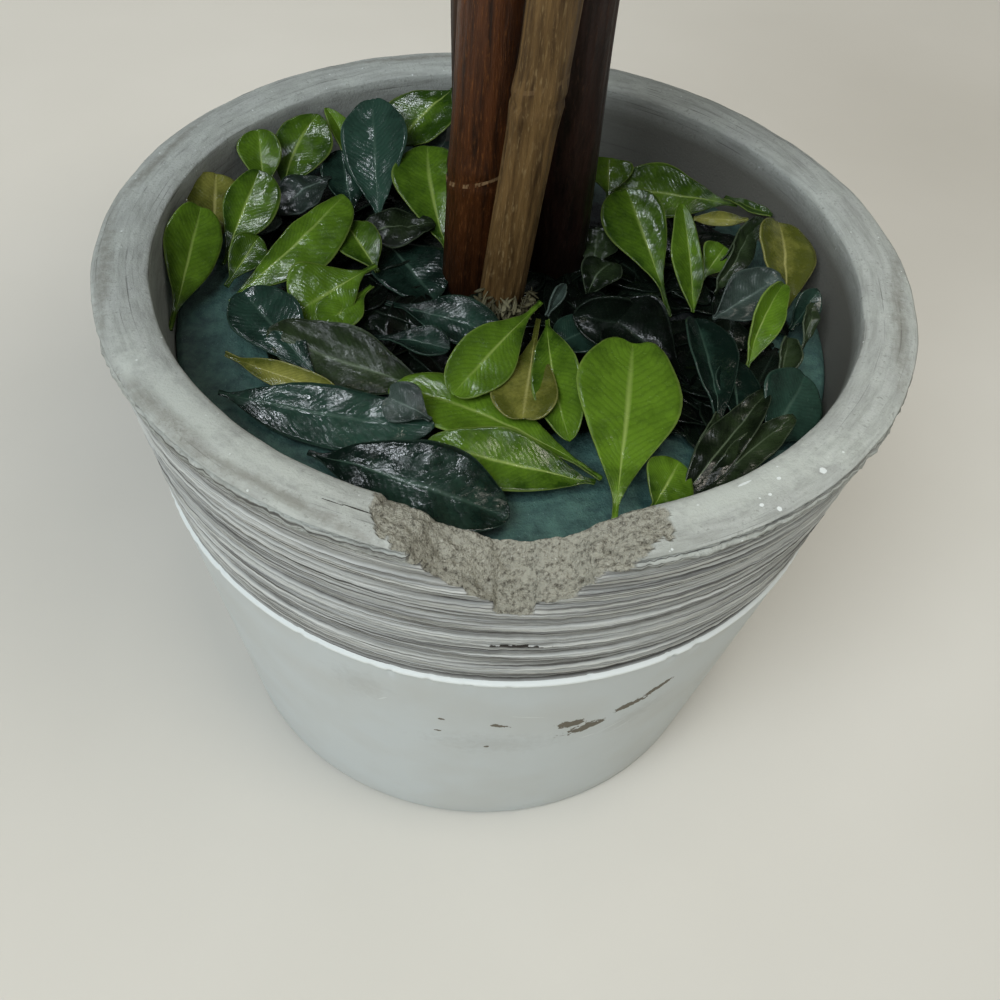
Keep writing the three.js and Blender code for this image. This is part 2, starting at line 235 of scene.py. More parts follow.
pot_outline = [(0, 0), *straight((0, 0), (FOOT_RADIUS - FOOT_ROUND, 0), 3)]
pot_outline += arc((FOOT_RADIUS - FOOT_ROUND, FOOT_ROUND), (FOOT_ROUND, FOOT_ROUND), -70, -8, 4)
pot_outline += straight(pot_outline[-1], (PAINT_RADIUS + 0.1, PAINT_Z - 1.2), 16)
bead_first = len(pot_outline)
pot_outline += arc((PAINT_RADIUS + 0.02, PAINT_Z - 0.4), (0.36, 0.45), -60, 75, 7)
band_first = len(pot_outline)
pot_outline += straight((PAINT_RADIUS, PAINT_Z + 0.4), (BAND_TOP_RADIUS, BAND_TOP_Z), 112)
band_last = len(pot_outline)
pot_outline += [(BAND_TOP_RADIUS - 0.4, BAND_TOP_Z + 0.3)]
crust_first = len(pot_outline)
pot_outline += arc((BAND_TOP_RADIUS, BAND_TOP_Z + 1.4), (0.8, 0.9), -60, 55, 9)
crust_last = len(pot_outline)
pot_outline += [(BAND_TOP_RADIUS + 0.3, RIM_Z + 0.12)]
pot_outline += arc((LIP_MIDDLE, RIM_Z), (LIP_HALF, LIP_CROWN), 22, 172, 32)
lip_last = len(pot_outline)
pot_outline += straight((wall_radius(RIM_Z), RIM_Z), (wall_radius(78), 78), 13)
pot_outline += straight((wall_radius(78), 78), (FLOOR_RADIUS, FLOOR_Z), 7)
pot_outline += straight((FLOOR_RADIUS, FLOOR_Z), (0, FLOOR_Z), 3)

pot, pot_rings, pot_turns = spun("cement_pot", pot_outline, POT_COLUMNS)

# The columns stand closer together at the front, where the lip is broken. Turn is measured from
# the front towards +X.
turn = np.linspace(0, 2 * math.pi, POT_COLUMNS, endpoint=False)
turn = math.pi - (turn + FRONT_CROWDING * np.sin(turn))
ring_radius = np.repeat(np.array(pot_outline)[:, :1], POT_COLUMNS, 1)
ring_z = np.repeat(np.array(pot_outline)[:, 1:], POT_COLUMNS, 1)
around = np.stack([np.sin(turn), -np.cos(turn)], -1)
spots = np.concatenate([ring_radius[..., None] * around, ring_z[..., None]], -1)

comb_random = np.random.default_rng(5)
band = slice(band_first, band_last)
band_z = ring_z[band]
comb = 0.6 * np.exp(-(((band_z - PAINT_Z - 0.9) / 0.35) ** 2))
for line in range(COMB_LINES):
    middle = PAINT_Z + 1 + (BAND_TOP_Z - PAINT_Z - 1) * (line + comb_random.uniform(0.1, 0.9)) / COMB_LINES
    wide = comb_random.uniform(*COMB_WIDTH)
    deep = comb_random.uniform(*COMB_DEPTH)
    drift = np.zeros(POT_COLUMNS)
    fade = np.full(POT_COLUMNS, 0.7)
    for waves in (1, 2, 3, 5, 9, 14):
        phase = comb_random.uniform(0, 2 * math.pi, 2)
        drift += COMB_WANDER / waves ** 0.6 * np.sin(waves * turn + phase[0]) / 2
        fade += 0.3 * np.sin((waves + 1) * turn + phase[1]) / waves ** 0.4
    comb = np.maximum(comb, deep * np.clip(fade, 0, 1) * np.exp(-(((band_z - middle - drift) / wide) ** 2)))
wavering = 0.5 * np.sin(2 * turn) + 0.3 * np.sin(5 * turn)
swell = np.cos((band_z - PAINT_Z + wavering) * 2 * math.pi / RIDGE_PITCH)
ring_radius[band] += RIDGE_HEIGHT * swell - comb + 0.1 * rough(spots[band], 1.6, 2)

# The crust under the lip is rough, and the paint edge is nicked here and there.
crust = slice(crust_first, crust_last)
ring_radius[crust] += 0.3 * rough(spots[crust], 0.9, 2) + 0.2 * rough(spots[crust], 3.5, 2)
bead = slice(bead_first, band_first)
nicks = np.clip(rough(spots[bead] * (1, 1, 0.4), 1.5, 2) - 0.25, 0, 1)
ring_radius[bead] -= 0.5 * nicks
lip = slice(crust_last, lip_last)
ring_radius[lip] += 0.12 * rough(spots[lip], 9, 3)
ring_z[lip] += 0.16 * rough(spots[lip] + 40, 6, 3)

# Where the casting is broken, the rings of the lip are laid out again over the rough bed.
broken = np.zeros_like(ring_z)
degrees = np.degrees(turn)


def break_bed(radius, column):
    """Height of the broken bed at some radii of one column."""
    inner = np.interp(degrees[column], *zip(*BREAK_INNER))
    outer = np.interp(degrees[column], *zip(*BREAK_OUTER))
    share = np.clip((radius - BREAK_INNER_RADIUS) / (BREAK_OUTER_RADIUS - BREAK_INNER_RADIUS), -0.2, 1.3)
    places = np.stack([radius * around[column, 0], radius * around[column, 1], 0 * radius], -1)
    lumps = 0.75 * rough(places, 3.2, 3) + 0.36 * rough(places + 9, 1.1, 3)
    pits = 1.3 * np.clip(rough(places + 30, 1.3, 2) - 0.3, 0, 1)
    return inner + (outer - inner) * share + lumps - pits


breaking = [c for c in range(POT_COLUMNS) if BREAK_INNER[0][0] < degrees[c] < BREAK_OUTER[-1][0]]
for column in breaking:
    radii = ring_radius[band_first:lip_last + BREAK_WALL_ROWS, column]
    heights = ring_z[band_first:lip_last + BREAK_WALL_ROWS, column]
    over = heights - break_bed(radii, column)
    above = np.flatnonzero(over > 0)
    if len(above) < 2:
        continue
    first, last = above[0], above[-1]
    low = over[first - 1] / (over[first - 1] - over[first])
    high = over[last + 1] / (over[last + 1] - over[last])
    outer_edge = radii[first - 1] + (radii[first] - radii[first - 1]) * low
    inner_edge = radii[last + 1] + (radii[last] - radii[last + 1]) * high
    bed_radii = np.linspace(outer_edge, inner_edge, last - first + 1)
    rows = slice(band_first + first, band_first + last + 1)
    ring_radius[rows, column] = bed_radii
    ring_z[rows, column] = break_bed(bed_radii, column)
    broken[rows, column] = 1

outline_steps = np.diff(np.array(pot_outline), axis=0, prepend=[pot_outline[0]])
outline_length = np.repeat(np.cumsum(np.hypot(*outline_steps.T))[:, None], POT_COLUMNS, 1)
# The comb lines and the low side of each ridge are darkened, as dirt and as painted shade in the grooves.
comb_shade = np.zeros_like(ring_z)
comb_shade[band] = np.clip(1.5 * comb / COMB_DEPTH[1] - 0.22 * swell - 0.08, 0, 1)
spots = np.concatenate([ring_radius[..., None] * around, ring_z[..., None]], -1)
set_points(pot, spots[pot_rings, pot_turns])
add_values(pot, "outline", outline_length[pot_rings, pot_turns])
add_values(pot, "comb", comb_shade[pot_rings, pot_turns])
add_values(pot, "broken", broken[pot_rings, pot_turns])

# Cast cement is matt and chalky. Its skin has a pale lime bloom, specks of salt and fine lines
# drawn round the lip, the combed lines are dark with dirt and with painted shade in their grooves,
# and the fracture is browner, with dark pores. The paint is thin, cool white and satin, with a bead
# at its edge, and flecks of it have come off.
CEMENT_SKIN = linear("#abaea8")
CEMENT_BLOOM = linear("#babfb6")
CEMENT_SHADE = linear("#74766e")
LIP_LINE = linear("#5c5d58")
LIP_STAIN = linear("#77756a")
# Dirt and painted shade in the grooves, cracks and pits.
DIRT_AND_SHADE = linear("#36322d")
COMB_RIDGE = linear("#cdcfc9")
FRACTURE = linear("#aeac9c")
FRACTURE_DARK = linear("#3a3427")
FRACTURE_GRAIN = linear("#c6c5b7")
# Painted shade for the wall inside the pot.
INNER_WALL_SHADE = linear("#63625a")
WHITE_PAINT = linear("#c2c8c6")
PAINT_BEAD = linear("#dde2de")
PAINT_WARM = linear("#b3b2a8")
BARE_FLECK = linear("#6d6759")

# Marks: the middle of each, its half sizes along the rim, outward and up, and its slope in degrees.
PAINT_FLECKS = [((16, -50.2, 41.7), (2.2, 8, 1.2), 0), ((18.4, -49, 38.8), (3.1, 8, 1.5), 16),
                ((24.8, -47, 43.2), (2.7, 8, 1), 22), ((28.2, -45, 45.6), (2.4, 8, 0.8), 34),
                ((5.6, -52.6, 43.2), (1.3, 8, 0.6), -14), ((-3.7, -52.9, 44.2), (0.6, 8, 0.35), -4),
                ((-4.1, -52.2, 39.4), (0.6, 8, 0.35), 0), ((3.6, -51.6, 34.6), (0.4, 8, 0.35), 0),
                ((6, -56.2, 69.8), (3.1, 8, 0.5), 0)]
WHITE_SPECKS = [((41.1, -40.2, 91.1), (0.6, 0.5, 3), 0), ((32.7, -47.1, 91), (0.3, 0.28, 3), 0),
                ((34.9, -47.3, 90.8), (0.3, 0.3, 3), 0), ((33.9, -45.3, 91.2), (0.25, 0.2, 3), 0),
                ((35.3, -42.4, 91.3), (0.3, 0.25, 3), 0), ((31, -43.6, 91.4), (1.2, 0.2, 3), 0)]
LIP_SMEARS = [((-38, -40, 91.2), (12, 1.6, 4), 0), ((-47.4, -34, 91), (2.4, 0.8, 4), 0),
              ((-26, -48, 91.2), (9, 1.2, 4), 0), ((30, -45, 91.2), (14, 2, 4), 0)]
LIP_STAINS = [((-38.4, -43.6, 90.6), (9, 0.9, 4), 0), ((-56.2, -14, 90.8), (11, 0.8, 4), 0),
              ((-55.6, 14, 90.8), (11, 0.6, 4), 0), ((-26, -51.6, 90.8), (11, 0.6, 4), 0),
              ((56.4, -8, 90.8), (12, 0.8, 4), 0), ((-20, 53.4, 90.8), (14, 0.6, 4), 0)]
CRACKS = [((-14.4, -54, 91.2), (2.2, 0.1, 4), 0), ((-17.8, -53.2, 91.2), (1.3, 0.08, 4), 0)]
PAINT_SMUDGES = [((4.6, -51.5, 35.6), (7, 8, 2.6), 0), ((26.5, -45.5, 37), (4, 8, 2), 30),
                 ((-16, -51, 50), (3, 8, 3), 60)]
PAINT_SCRATCHES = [((22.6, -47, 35.4), (3.2, 8, 0.12), 32), ((25.2, -45.4, 34.2), (2.2, 8, 0.1), 40),
                   ((9.4, -53.4, 46.4), (2.6, 8, 0.1), -12), ((19.6, -48.2, 34.4), (1.4, 8, 0.16), 10),
                   ((-12.6, -52.8, 47), (1.2, 8, 0.12), 50)]

LIP_END = float(outline_length[lip_last, 0])
BAND_END = float(outline_length[band_last, 0])
PAINT_END = float(outline_length[band_first, 0]) - 0.3
BEAD_START = float(outline_length[bead_first, 0])
CRUST_MIDDLE = float(outline_length[crust_first:crust_last, 0].mean())
CRUST_HALF = 1.1
cast_cement, tree, shader, place = new_material("cast_cement_with_brushed_paint")
parts = add_node(tree, "SeparateXYZ", {0: place})
outline = add_node(tree, "Attribute", {}, attribute_name="outline").outputs["Fac"]
comb_dark = add_node(tree, "Attribute", {}, attribute_name="comb").outputs["Fac"]
fracture = add_node(tree, "Attribute", {}, attribute_name="broken").outputs["Fac"]

bloom = add_node(tree, "TexNoise", {"Vector": place, "Scale": 1 / 5, "Detail": 6, "Roughness": 0.7})
bloom_share = add_node(tree, "MapRange", {0: bloom, 1: 0.35, 2: 0.75})
sand = add_node(tree, "TexNoise", {"Vector": place, "Scale": 1.6, "Detail": 3, "Roughness": 0.7})
sand_share = add_node(tree, "MapRange", {0: sand, 1: 0.52, 2: 0.7, 4: 0.6})

# Fine lines run round the pot: noise that is long along the wall and short along its outline.
lines_place = add_node(tree, "CombineXYZ", {0: parts.outputs[0], 1: parts.outputs[1]})
lines_flat = add_node(tree, "VectorMath", {0: lines_place, "Scale": 0.035}, operation="SCALE")
lines_high = add_node(tree, "Math", {0: outline, 1: 2.6}, operation="MULTIPLY")
lines_up = add_node(tree, "CombineXYZ", {2: lines_high})
lines_at = add_node(tree, "VectorMath", {0: lines_flat, 1: lines_up}, operation="ADD")
lines = add_node(tree, "TexNoise", {"Vector": lines_at, "Scale": 1, "Detail": 2})
brush_at = add_node(tree, "VectorMath", {0: lines_at, 1: (3.4, 3.4, 0.35)}, operation="MULTIPLY")
brushed = add_node(tree, "TexNoise", {"Vector": brush_at, "Scale": 1, "Detail": 5, "Roughness": 0.7})
brush_share = add_node(tree, "MapRange", {0: brushed, 1: 0.42, 2: 0.66, 4: 0.5})
shaded = add_node(tree, "Math", {0: brush_share, 1: sand_share}, operation="MAXIMUM")
line_share = add_node(tree, "MapRange", {0: lines, 1: 0.62, 2: 0.72})
line_gaps = add_node(tree, "MapRange", {0: bloom, 1: 0.45, 2: 0.58, 3: 0.8, 4: 0})
line_seen = add_node(tree, "Math", {0: line_share, 1: line_gaps}, operation="MULTIPLY")
ragged = add_node(tree, "TexNoise", {"Vector": place, "Scale": 0.75, "Detail": 4, "Roughness": 0.65})


def torn_marks(tree, place, ragged, marks, tear, soft):
    """1 on some marks and 0 off them. A ragged noise tears their edges, which are that soft."""
    nearest = None
    for middle, sizes, slope in marks:
        facing = math.atan2(middle[0], -middle[1])
        local = add_node(tree, "Mapping", {"Vector": place, "Location": middle,
                                           "Rotation": (0, -math.radians(slope), facing), "Scale": sizes},
                         vector_type="TEXTURE")
        reach = add_node(tree, "VectorMath", {0: local}, operation="LENGTH")
        nearest = reach if nearest is None else add_node(tree, "Math", {0: nearest, 1: reach},
                                                         operation="MINIMUM")
    torn = add_node(tree, "Math", {0: ragged, 1: -tear, 2: nearest}, operation="MULTIPLY_ADD")
    return add_node(tree, "MapRange", {0: torn, 1: 1 - tear / 2 + soft, 2: 1 - tear / 2 - soft})


stain_share = add_node(tree, "Math", {0: torn_marks(tree, place, ragged, LIP_STAINS, 4, 0.9), 1: 0.6},
                       operation="MULTIPLY")

# Specks of salt lie in the bloom, and the wall inside is painted darker as shade, most of all at the right.
salts = add_node(tree, "TexVoronoi", {"Vector": place, "Scale": 0.42})
salt_dots = add_node(tree, "MapRange", {0: salts, 1: 0.085, 2: 0.05, 4: 0.8})
salt_beds = add_node(tree, "MapRange", {0: bloom, 1: 0.46, 2: 0.52})
salt_seen = add_node(tree, "Math", {0: salt_dots, 1: salt_beds}, operation="MULTIPLY")
depth_in = add_node(tree, "MapRange", {0: outline, 1: LIP_END - 2, 2: LIP_END + 3})
side = add_node(tree, "MapRange", {0: parts.outputs[0], 1: -45, 2: 30, 3: 0.3})
inner_wall_shade_share = add_node(tree, "Math", {0: depth_in, 1: side}, operation="MULTIPLY")

# The band: pale ridges, dark lines of dirt and painted shade, and finer streaks between the
# modelled ones.
streak_at = add_node(tree, "VectorMath", {0: lines_at, 1: (0.6, 0.6, 0.95)}, operation="MULTIPLY")
streaks = add_node(tree, "TexNoise", {"Vector": streak_at, "Scale": 1, "Detail": 5, "Roughness": 0.62})
streak_share = add_node(tree, "MapRange", {0: streaks, 1: 0.46, 2: 0.62, 4: 0.86})
dirt_and_shade_share = add_node(tree, "Math", {0: comb_dark, 1: streak_share}, operation="MAXIMUM", use_clamp=True)
banded = laid_over(tree, COMB_RIDGE, [(dirt_and_shade_share, DIRT_AND_SHADE)])
low_enough = add_node(tree, "Math", {0: parts.outputs[2], 1: BAND_TOP_Z + 0.35}, operation="LESS_THAN")
outside = add_node(tree, "Math", {0: outline, 1: BAND_END}, operation="LESS_THAN")
over_paint = add_node(tree, "Math", {0: outline, 1: PAINT_END}, operation="GREATER_THAN")
on_wall = add_node(tree, "Math", {0: low_enough, 1: outside}, operation="MULTIPLY")
band_mask = add_node(tree, "Math", {0: on_wall, 1: over_paint}, operation="MULTIPLY")

# The crust under the lip is darker in the same streaks.
crust_zone = add_node(tree, "Math", {0: outline, 1: CRUST_MIDDLE, 2: CRUST_HALF}, operation="COMPARE")
crust_dark_streaks = add_node(tree, "Math", {0: crust_zone, 1: streak_share}, operation="MULTIPLY")

# The broken bed.
pores = add_node(tree, "TexNoise", {"Vector": place, "Scale": 1.5, "Detail": 6, "Roughness": 0.74})
pore_share = add_node(tree, "MapRange", {0: pores, 1: 0.48, 2: 0.66, 4: 0.92})
grains = add_node(tree, "TexVoronoi", {"Vector": place, "Scale": 1.1})
grain_share = add_node(tree, "MapRange", {0: grains, 1: 0.2, 2: 0.08, 4: 0.8})
grainy = laid_over(tree, FRACTURE, [(pore_share, FRACTURE_DARK), (grain_share, FRACTURE_GRAIN)])

# Paint below its edge, smudged and scratched a little, except on the flecks.
warmth = add_node(tree, "TexNoise", {"Vector": place, "Scale": 1 / 14, "Detail": 3})
warm_share = add_node(tree, "MapRange", {0: warmth, 1: 0.4, 2: 0.7, 4: 0.35})
flecked = torn_marks(tree, place, ragged, PAINT_FLECKS, 3.2, 0.05)
bead_paint_and_highlight = add_node(tree, "Math", {0: outline, 1: BEAD_START}, operation="GREATER_THAN")
below = add_node(tree, "Math", {0: outline, 1: PAINT_END}, operation="LESS_THAN")
smudge_share = add_node(tree, "Math", {0: torn_marks(tree, place, ragged, PAINT_SMUDGES, 4, 0.8), 1: 0.16},
                        operation="MULTIPLY")
scratch_marks = torn_marks(tree, place, ragged, PAINT_SCRATCHES, 2.4, 0.2)
scratch_share = add_node(tree, "Math", {0: scratch_marks, 1: 0.5}, operation="MULTIPLY")
# The bead at the paint's edge is whiter, for its thicker paint and as a painted highlight where it catches
# light.
paint = laid_over(tree, WHITE_PAINT, [(warm_share, PAINT_WARM), (bead_paint_and_highlight, PAINT_BEAD),
                                     (smudge_share, BARE_FLECK), (scratch_share, PAINT_BEAD),
                                     (flecked, BARE_FLECK)])

# All of it, from the skin outwards.
pot_colour = laid_over(tree, CEMENT_SKIN, [
    (bloom_share, CEMENT_BLOOM), (shaded, CEMENT_SHADE), (line_seen, LIP_LINE),
    (torn_marks(tree, place, ragged, LIP_SMEARS, 3, 0.6), CEMENT_BLOOM), (stain_share, LIP_STAIN),
    (torn_marks(tree, place, ragged, CRACKS, 2.6, 0.08), DIRT_AND_SHADE),
    (torn_marks(tree, place, ragged, WHITE_SPECKS, 1.2, 0.1), PAINT_BEAD), (salt_seen, PAINT_BEAD),
    (inner_wall_shade_share, INNER_WALL_SHADE), (crust_dark_streaks, DIRT_AND_SHADE), (band_mask, banded),
    (fracture, grainy), (flecked, DIRT_AND_SHADE), (below, paint)])

painted = add_node(tree, "Math", {0: below, 1: flecked}, operation="SUBTRACT", use_clamp=True)
gloss = add_node(tree, "MapRange", {0: painted, 3: 0.88, 4: 0.5})
grit = add_node(tree, "TexNoise", {"Vector": place, "Scale": 2.4, "Detail": 3, "Roughness": 0.7})
grit_height = add_node(tree, "MapRange", {0: painted, 3: 0.5, 4: 0.06})
coarser = add_node(tree, "Math", {0: fracture, 1: 2.6, 2: grit_height}, operation="MULTIPLY_ADD")
relief = add_node(tree, "Math", {0: grit, 1: coarser}, operation="MULTIPLY")
combed = add_node(tree, "Math", {0: streak_share, 1: band_mask}, operation="MULTIPLY")
carved = add_node(tree, "Math", {0: combed, 1: -0.5, 2: relief}, operation="MULTIPLY_ADD")
coated = add_node(tree, "Math", {0: painted, 1: 0.35, 2: carved}, operation="MULTIPLY_ADD")
bump = add_node(tree, "Bump", {"Height": coated, "Distance": 0.35 * MM, "Strength": 0.8})
fill_inputs(tree, shader, {"Base Color": pot_colour, "Roughness": gloss, "Normal": bump})

finish_piece(pot, cast_cement)
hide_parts("pot")

# Foam fill
# The block of dry floral foam that holds the stems, wedged into the pot and dyed dark blue-green.
# It was sliced level, so its face is open-celled and crumbly, with small tears.
FOAM_TOP = 79
FOAM_EDGE = 1.5
GAP = 0.3
FOAM_COLUMNS = 280

foam_reach = wall_radius(FOAM_TOP) - GAP
foam_outline = [(0, FLOOR_Z + GAP), *straight((0, FLOOR_Z + GAP), (FLOOR_RADIUS - GAP, FLOOR_Z + GAP), 2)]
foam_outline += straight(foam_outline[-1], (foam_reach, FOAM_TOP - FOAM_EDGE), 6)
foam_outline += arc((foam_reach - FOAM_EDGE, FOAM_TOP - FOAM_EDGE), (FOAM_EDGE, FOAM_EDGE), 15, 90, 5)
foam_face = len(foam_outline)
foam_outline += straight(foam_outline[-1], (0, FOAM_TOP), 68)
foam, foam_rings, foam_turns = spun("plant_foam", foam_outline, FOAM_COLUMNS)
foam_turn = np.linspace(0, 2 * math.pi, FOAM_COLUMNS, endpoint=False)
foam_outline = np.array(foam_outline)
foam_radius = foam_outline[foam_rings, 0]
foam_facing = foam_turn[foam_turns]
foam_spots = np.stack([foam_radius * np.cos(foam_facing), foam_radius * np.sin(foam_facing),
                       foam_outline[foam_rings, 1]], -1)
face = foam_rings >= foam_face - 1
crumbs = 0.35 * rough(foam_spots[face], 5, 2) + 0.25 * rough(foam_spots[face] + 7, 1.3, 2)
tears = np.clip(0.12 - np.abs(rough(foam_spots[face] + 20, 8, 2)), 0, 1) * 6
foam_spots[face, 2] += crumbs - tears * np.clip(rough(foam_spots[face] + 50, 12), 0, 1) * 1.6
set_points(foam, foam_spots)

# Open cells scatter light, so the face is matt and cloudy with bright points. Under the loose leaves
# it is painted nearly black, as painted shade.
FOAM_DEEP = linear("#2e4a48")
FOAM_FACE = linear("#4c6f65")
FOAM_SPARK = linear("#7f9a96")
FOAM_PAINTED_SHADE = linear("#0c1211")
LITTER_SHADE_BEDS = [((12, 8, 79), (27, 24, 60), 0), ((-26, 24, 79), (16, 14, 60), 0),
               ((2, -18, 79), (22, 9, 60), 0), ((-20, -4, 79), (17, 14, 60), 0),
               ((30, -16, 79), (9, 12, 60), 0)]
floral_foam, tree, shader, place = new_material("floral_foam_sliced")
cells = add_node(tree, "TexNoise", {"Vector": place, "Scale": 0.4, "Detail": 8, "Roughness": 0.75})
cell_share = add_node(tree, "MapRange", {0: cells, 1: 0.36, 2: 0.62})
sparks = add_node(tree, "TexVoronoi", {"Vector": place, "Scale": 1.3})
spark_share = add_node(tree, "MapRange", {0: sparks, 1: 0.12, 2: 0.05, 4: 0.6})
# Painted shade: the beds under the loose leaves are painted nearly black.
foam_with_painted_shade = laid_over(tree, FOAM_DEEP, [
    (cell_share, FOAM_FACE), (spark_share, FOAM_SPARK),
    (torn_marks(tree, place, cells, LITTER_SHADE_BEDS, 1.2, 0.2), FOAM_PAINTED_SHADE)])
open_cells = add_node(tree, "TexNoise", {"Vector": place, "Scale": 2.2, "Detail": 4, "Roughness": 0.7})
bump = add_node(tree, "Bump", {"Height": open_cells, "Distance": 0.5 * MM, "Strength": 0.7})
fill_inputs(tree, shader, {"Base Color": foam_with_painted_shade, "Roughness": 0.7, "Normal": bump})
finish_piece(foam, floral_foam)
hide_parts("foam_fill")

# Stems
# Four cut stems, pushed into the foam side by side. Each keeps its bark: lengthwise grain, the
# ring of an old node, and a colour of its own from red-brown to tan to nearly black.
STEM_SIDES = 240
STEM_CUTS = 15
STEM_HEIGHTS = [42, 80, 125, 266]
NODE_SWELL = (3, 0.3)
NODE_GROOVE = (0.5, 0.3)

# Each stem: where its axis passes at the four heights above, its radius at the foot and at the top,
# the height of its old node, the height of its grain, its bark from mid to dark to pale, how rough
# that is, how dark its foot is, soaked and in painted shade among the leaves, and how clearly the
# scar of the node shows.
STEMS = {
    "stem_left": {"path": [(-6.2, 4.4), (-5.9, 4.6), (-5.5, 5.4), (-4.9, 2.6)], "foot": 4.6, "top": 4.5,
                  "node": 100.5, "ridges": 0.12, "slot": "red_bark",
                  "bark": ("#532d13", "#281307", "#855329"), "rough": 0.36, "soak_and_shade": 0.94,
                  "scar": 0.7},
    "stem_middle": {"path": [(-3.6, -3.4), (-1.3, -2.7), (2, -2), (4.2, -4.6)], "foot": 3.3, "top": 3.3,
                    "node": 116, "ridges": 0.2, "slot": "tan_bark",
                    "bark": ("#705631", "#402c13", "#9c855c"), "rough": 0.55, "soak_and_shade": 0.3,
                    "scar": 0.15},
    "stem_right": {"path": [(7.6, 18), (7.2, 13), (6.2, 6.6), (6.2, 6.2)], "foot": 4.6, "top": 4.5,
                   "node": 148, "ridges": 0.24, "slot": "dark_bark",
                   "bark": ("#35201a", "#180c08", "#5a4030"), "rough": 0.45, "soak_and_shade": 0.9,
                   "scar": 0.2},
    "stem_back": {"path": [(-3.4, 14.6), (-5.4, 14), (-8, 14.9), (-6.6, 12.2)], "foot": 4, "top": 3.7,
                  "node": 160, "ridges": 0.24, "slot": "dark_bark",
                  "bark": ("#3b271b", "#1b0f09", "#654a36"), "rough": 0.5, "soak_and_shade": 0.9,
                  "scar": 0.2},
}


def stem_line(path, heights):
    """The stem's axis at each height: a smooth curve through its four stated points."""
    knots = np.array(STEM_HEIGHTS, float)
    passes = np.array(path, float)
    slopes = np.gradient(passes, knots, axis=0)
    index = np.clip(np.searchsorted(knots, heights) - 1, 0, len(knots) - 2)
    span = (knots[index + 1] - knots[index])[:, None]
    s = (heights - knots[index])[:, None] / span
    return ((2 * s ** 3 - 3 * s ** 2 + 1) * passes[index] + (s ** 3 - 2 * s ** 2 + s) * span * slopes[index]
            + (3 * s ** 2 - 2 * s ** 3) * passes[index + 1] + (s ** 3 - s ** 2) * span * slopes[index + 1])


# The bark of every stem darkens to this towards its foot, soaked where the foam wets it and as
# painted shade among the leaves, and its scar is bare wood.
BARK_FOOT_SOAK_AND_SHADE = linear("#140a04")
BARK_SCAR = linear("#a98a63")


def bark_material(name, look, seed):
    """Bark with a waxy skin: streaks along the stem, fine pale fibres, a broken pale scar round
    the node, and a foot that is darker, soaked and in painted shade among the leaves."""
    material, tree, shader, place = new_material(name)
    along = add_node(tree, "Mapping", {"Vector": place, "Location": (seed * 10, 0, 0),
                                       "Scale": (0.8, 0.8, 0.07)})
    streaks = add_node(tree, "TexNoise", {"Vector": along, "Scale": 1, "Detail": 5, "Roughness": 0.6})
    dark_share = add_node(tree, "MapRange", {0: streaks, 1: 0.42, 2: 0.66})
    fine = add_node(tree, "Mapping", {"Vector": place, "Location": (0, seed * 10, 0),
                                      "Scale": (3.4, 3.4, 0.5)})
    fibres = add_node(tree, "TexNoise", {"Vector": fine, "Scale": 1, "Detail": 4, "Roughness": 0.7})
    pale_share = add_node(tree, "MapRange", {0: fibres, 1: 0.55, 2: 0.75, 4: 0.8})
    up = add_node(tree, "SeparateXYZ", {0: place})
    wicked = add_node(tree, "Math", {0: fibres, 1: 14, 2: up.outputs[2]}, operation="MULTIPLY_ADD")
    # Painted shade and soaking together: the bark darkens towards its foot.
    soaked_and_shaded = add_node(tree, "MapRange", {0: wicked, 1: 86, 2: 112, 3: look["soak_and_shade"], 4: 0})
    tilted = add_node(tree, "Math", {0: up.outputs[0], 1: -0.35, 2: up.outputs[2]},
                      operation="MULTIPLY_ADD")
    ringed = add_node(tree, "Math", {0: tilted, 1: look["node"] + 2, 2: 0.3}, operation="COMPARE")
    patchy = add_node(tree, "MapRange", {0: streaks, 1: 0.49, 2: 0.54, 4: look["scar"]})
    scar_share = add_node(tree, "Math", {0: ringed, 1: patchy}, operation="MULTIPLY")
    mid, dark, pale = (linear(code) for code in look["bark"])
    stained = laid_over(tree, mid, [(dark_share, dark), (pale_share, pale), (scar_share, BARK_SCAR),
                                    (soaked_and_shaded, BARK_FOOT_SOAK_AND_SHADE)])
    worn = add_node(tree, "MapRange", {0: fibres, 1: 0.3, 2: 0.7, 3: look["rough"] - 0.08,
                                       4: look["rough"] + 0.2})
    bump = add_node(tree, "Bump", {"Height": fibres, "Distance": 0.25 * MM, "Strength": 0.7})
    fill_inputs(tree, shader, {"Base Color": stained, "Roughness": worn, "Specular IOR Level": 0.35,
                               "Normal": bump})
    return material


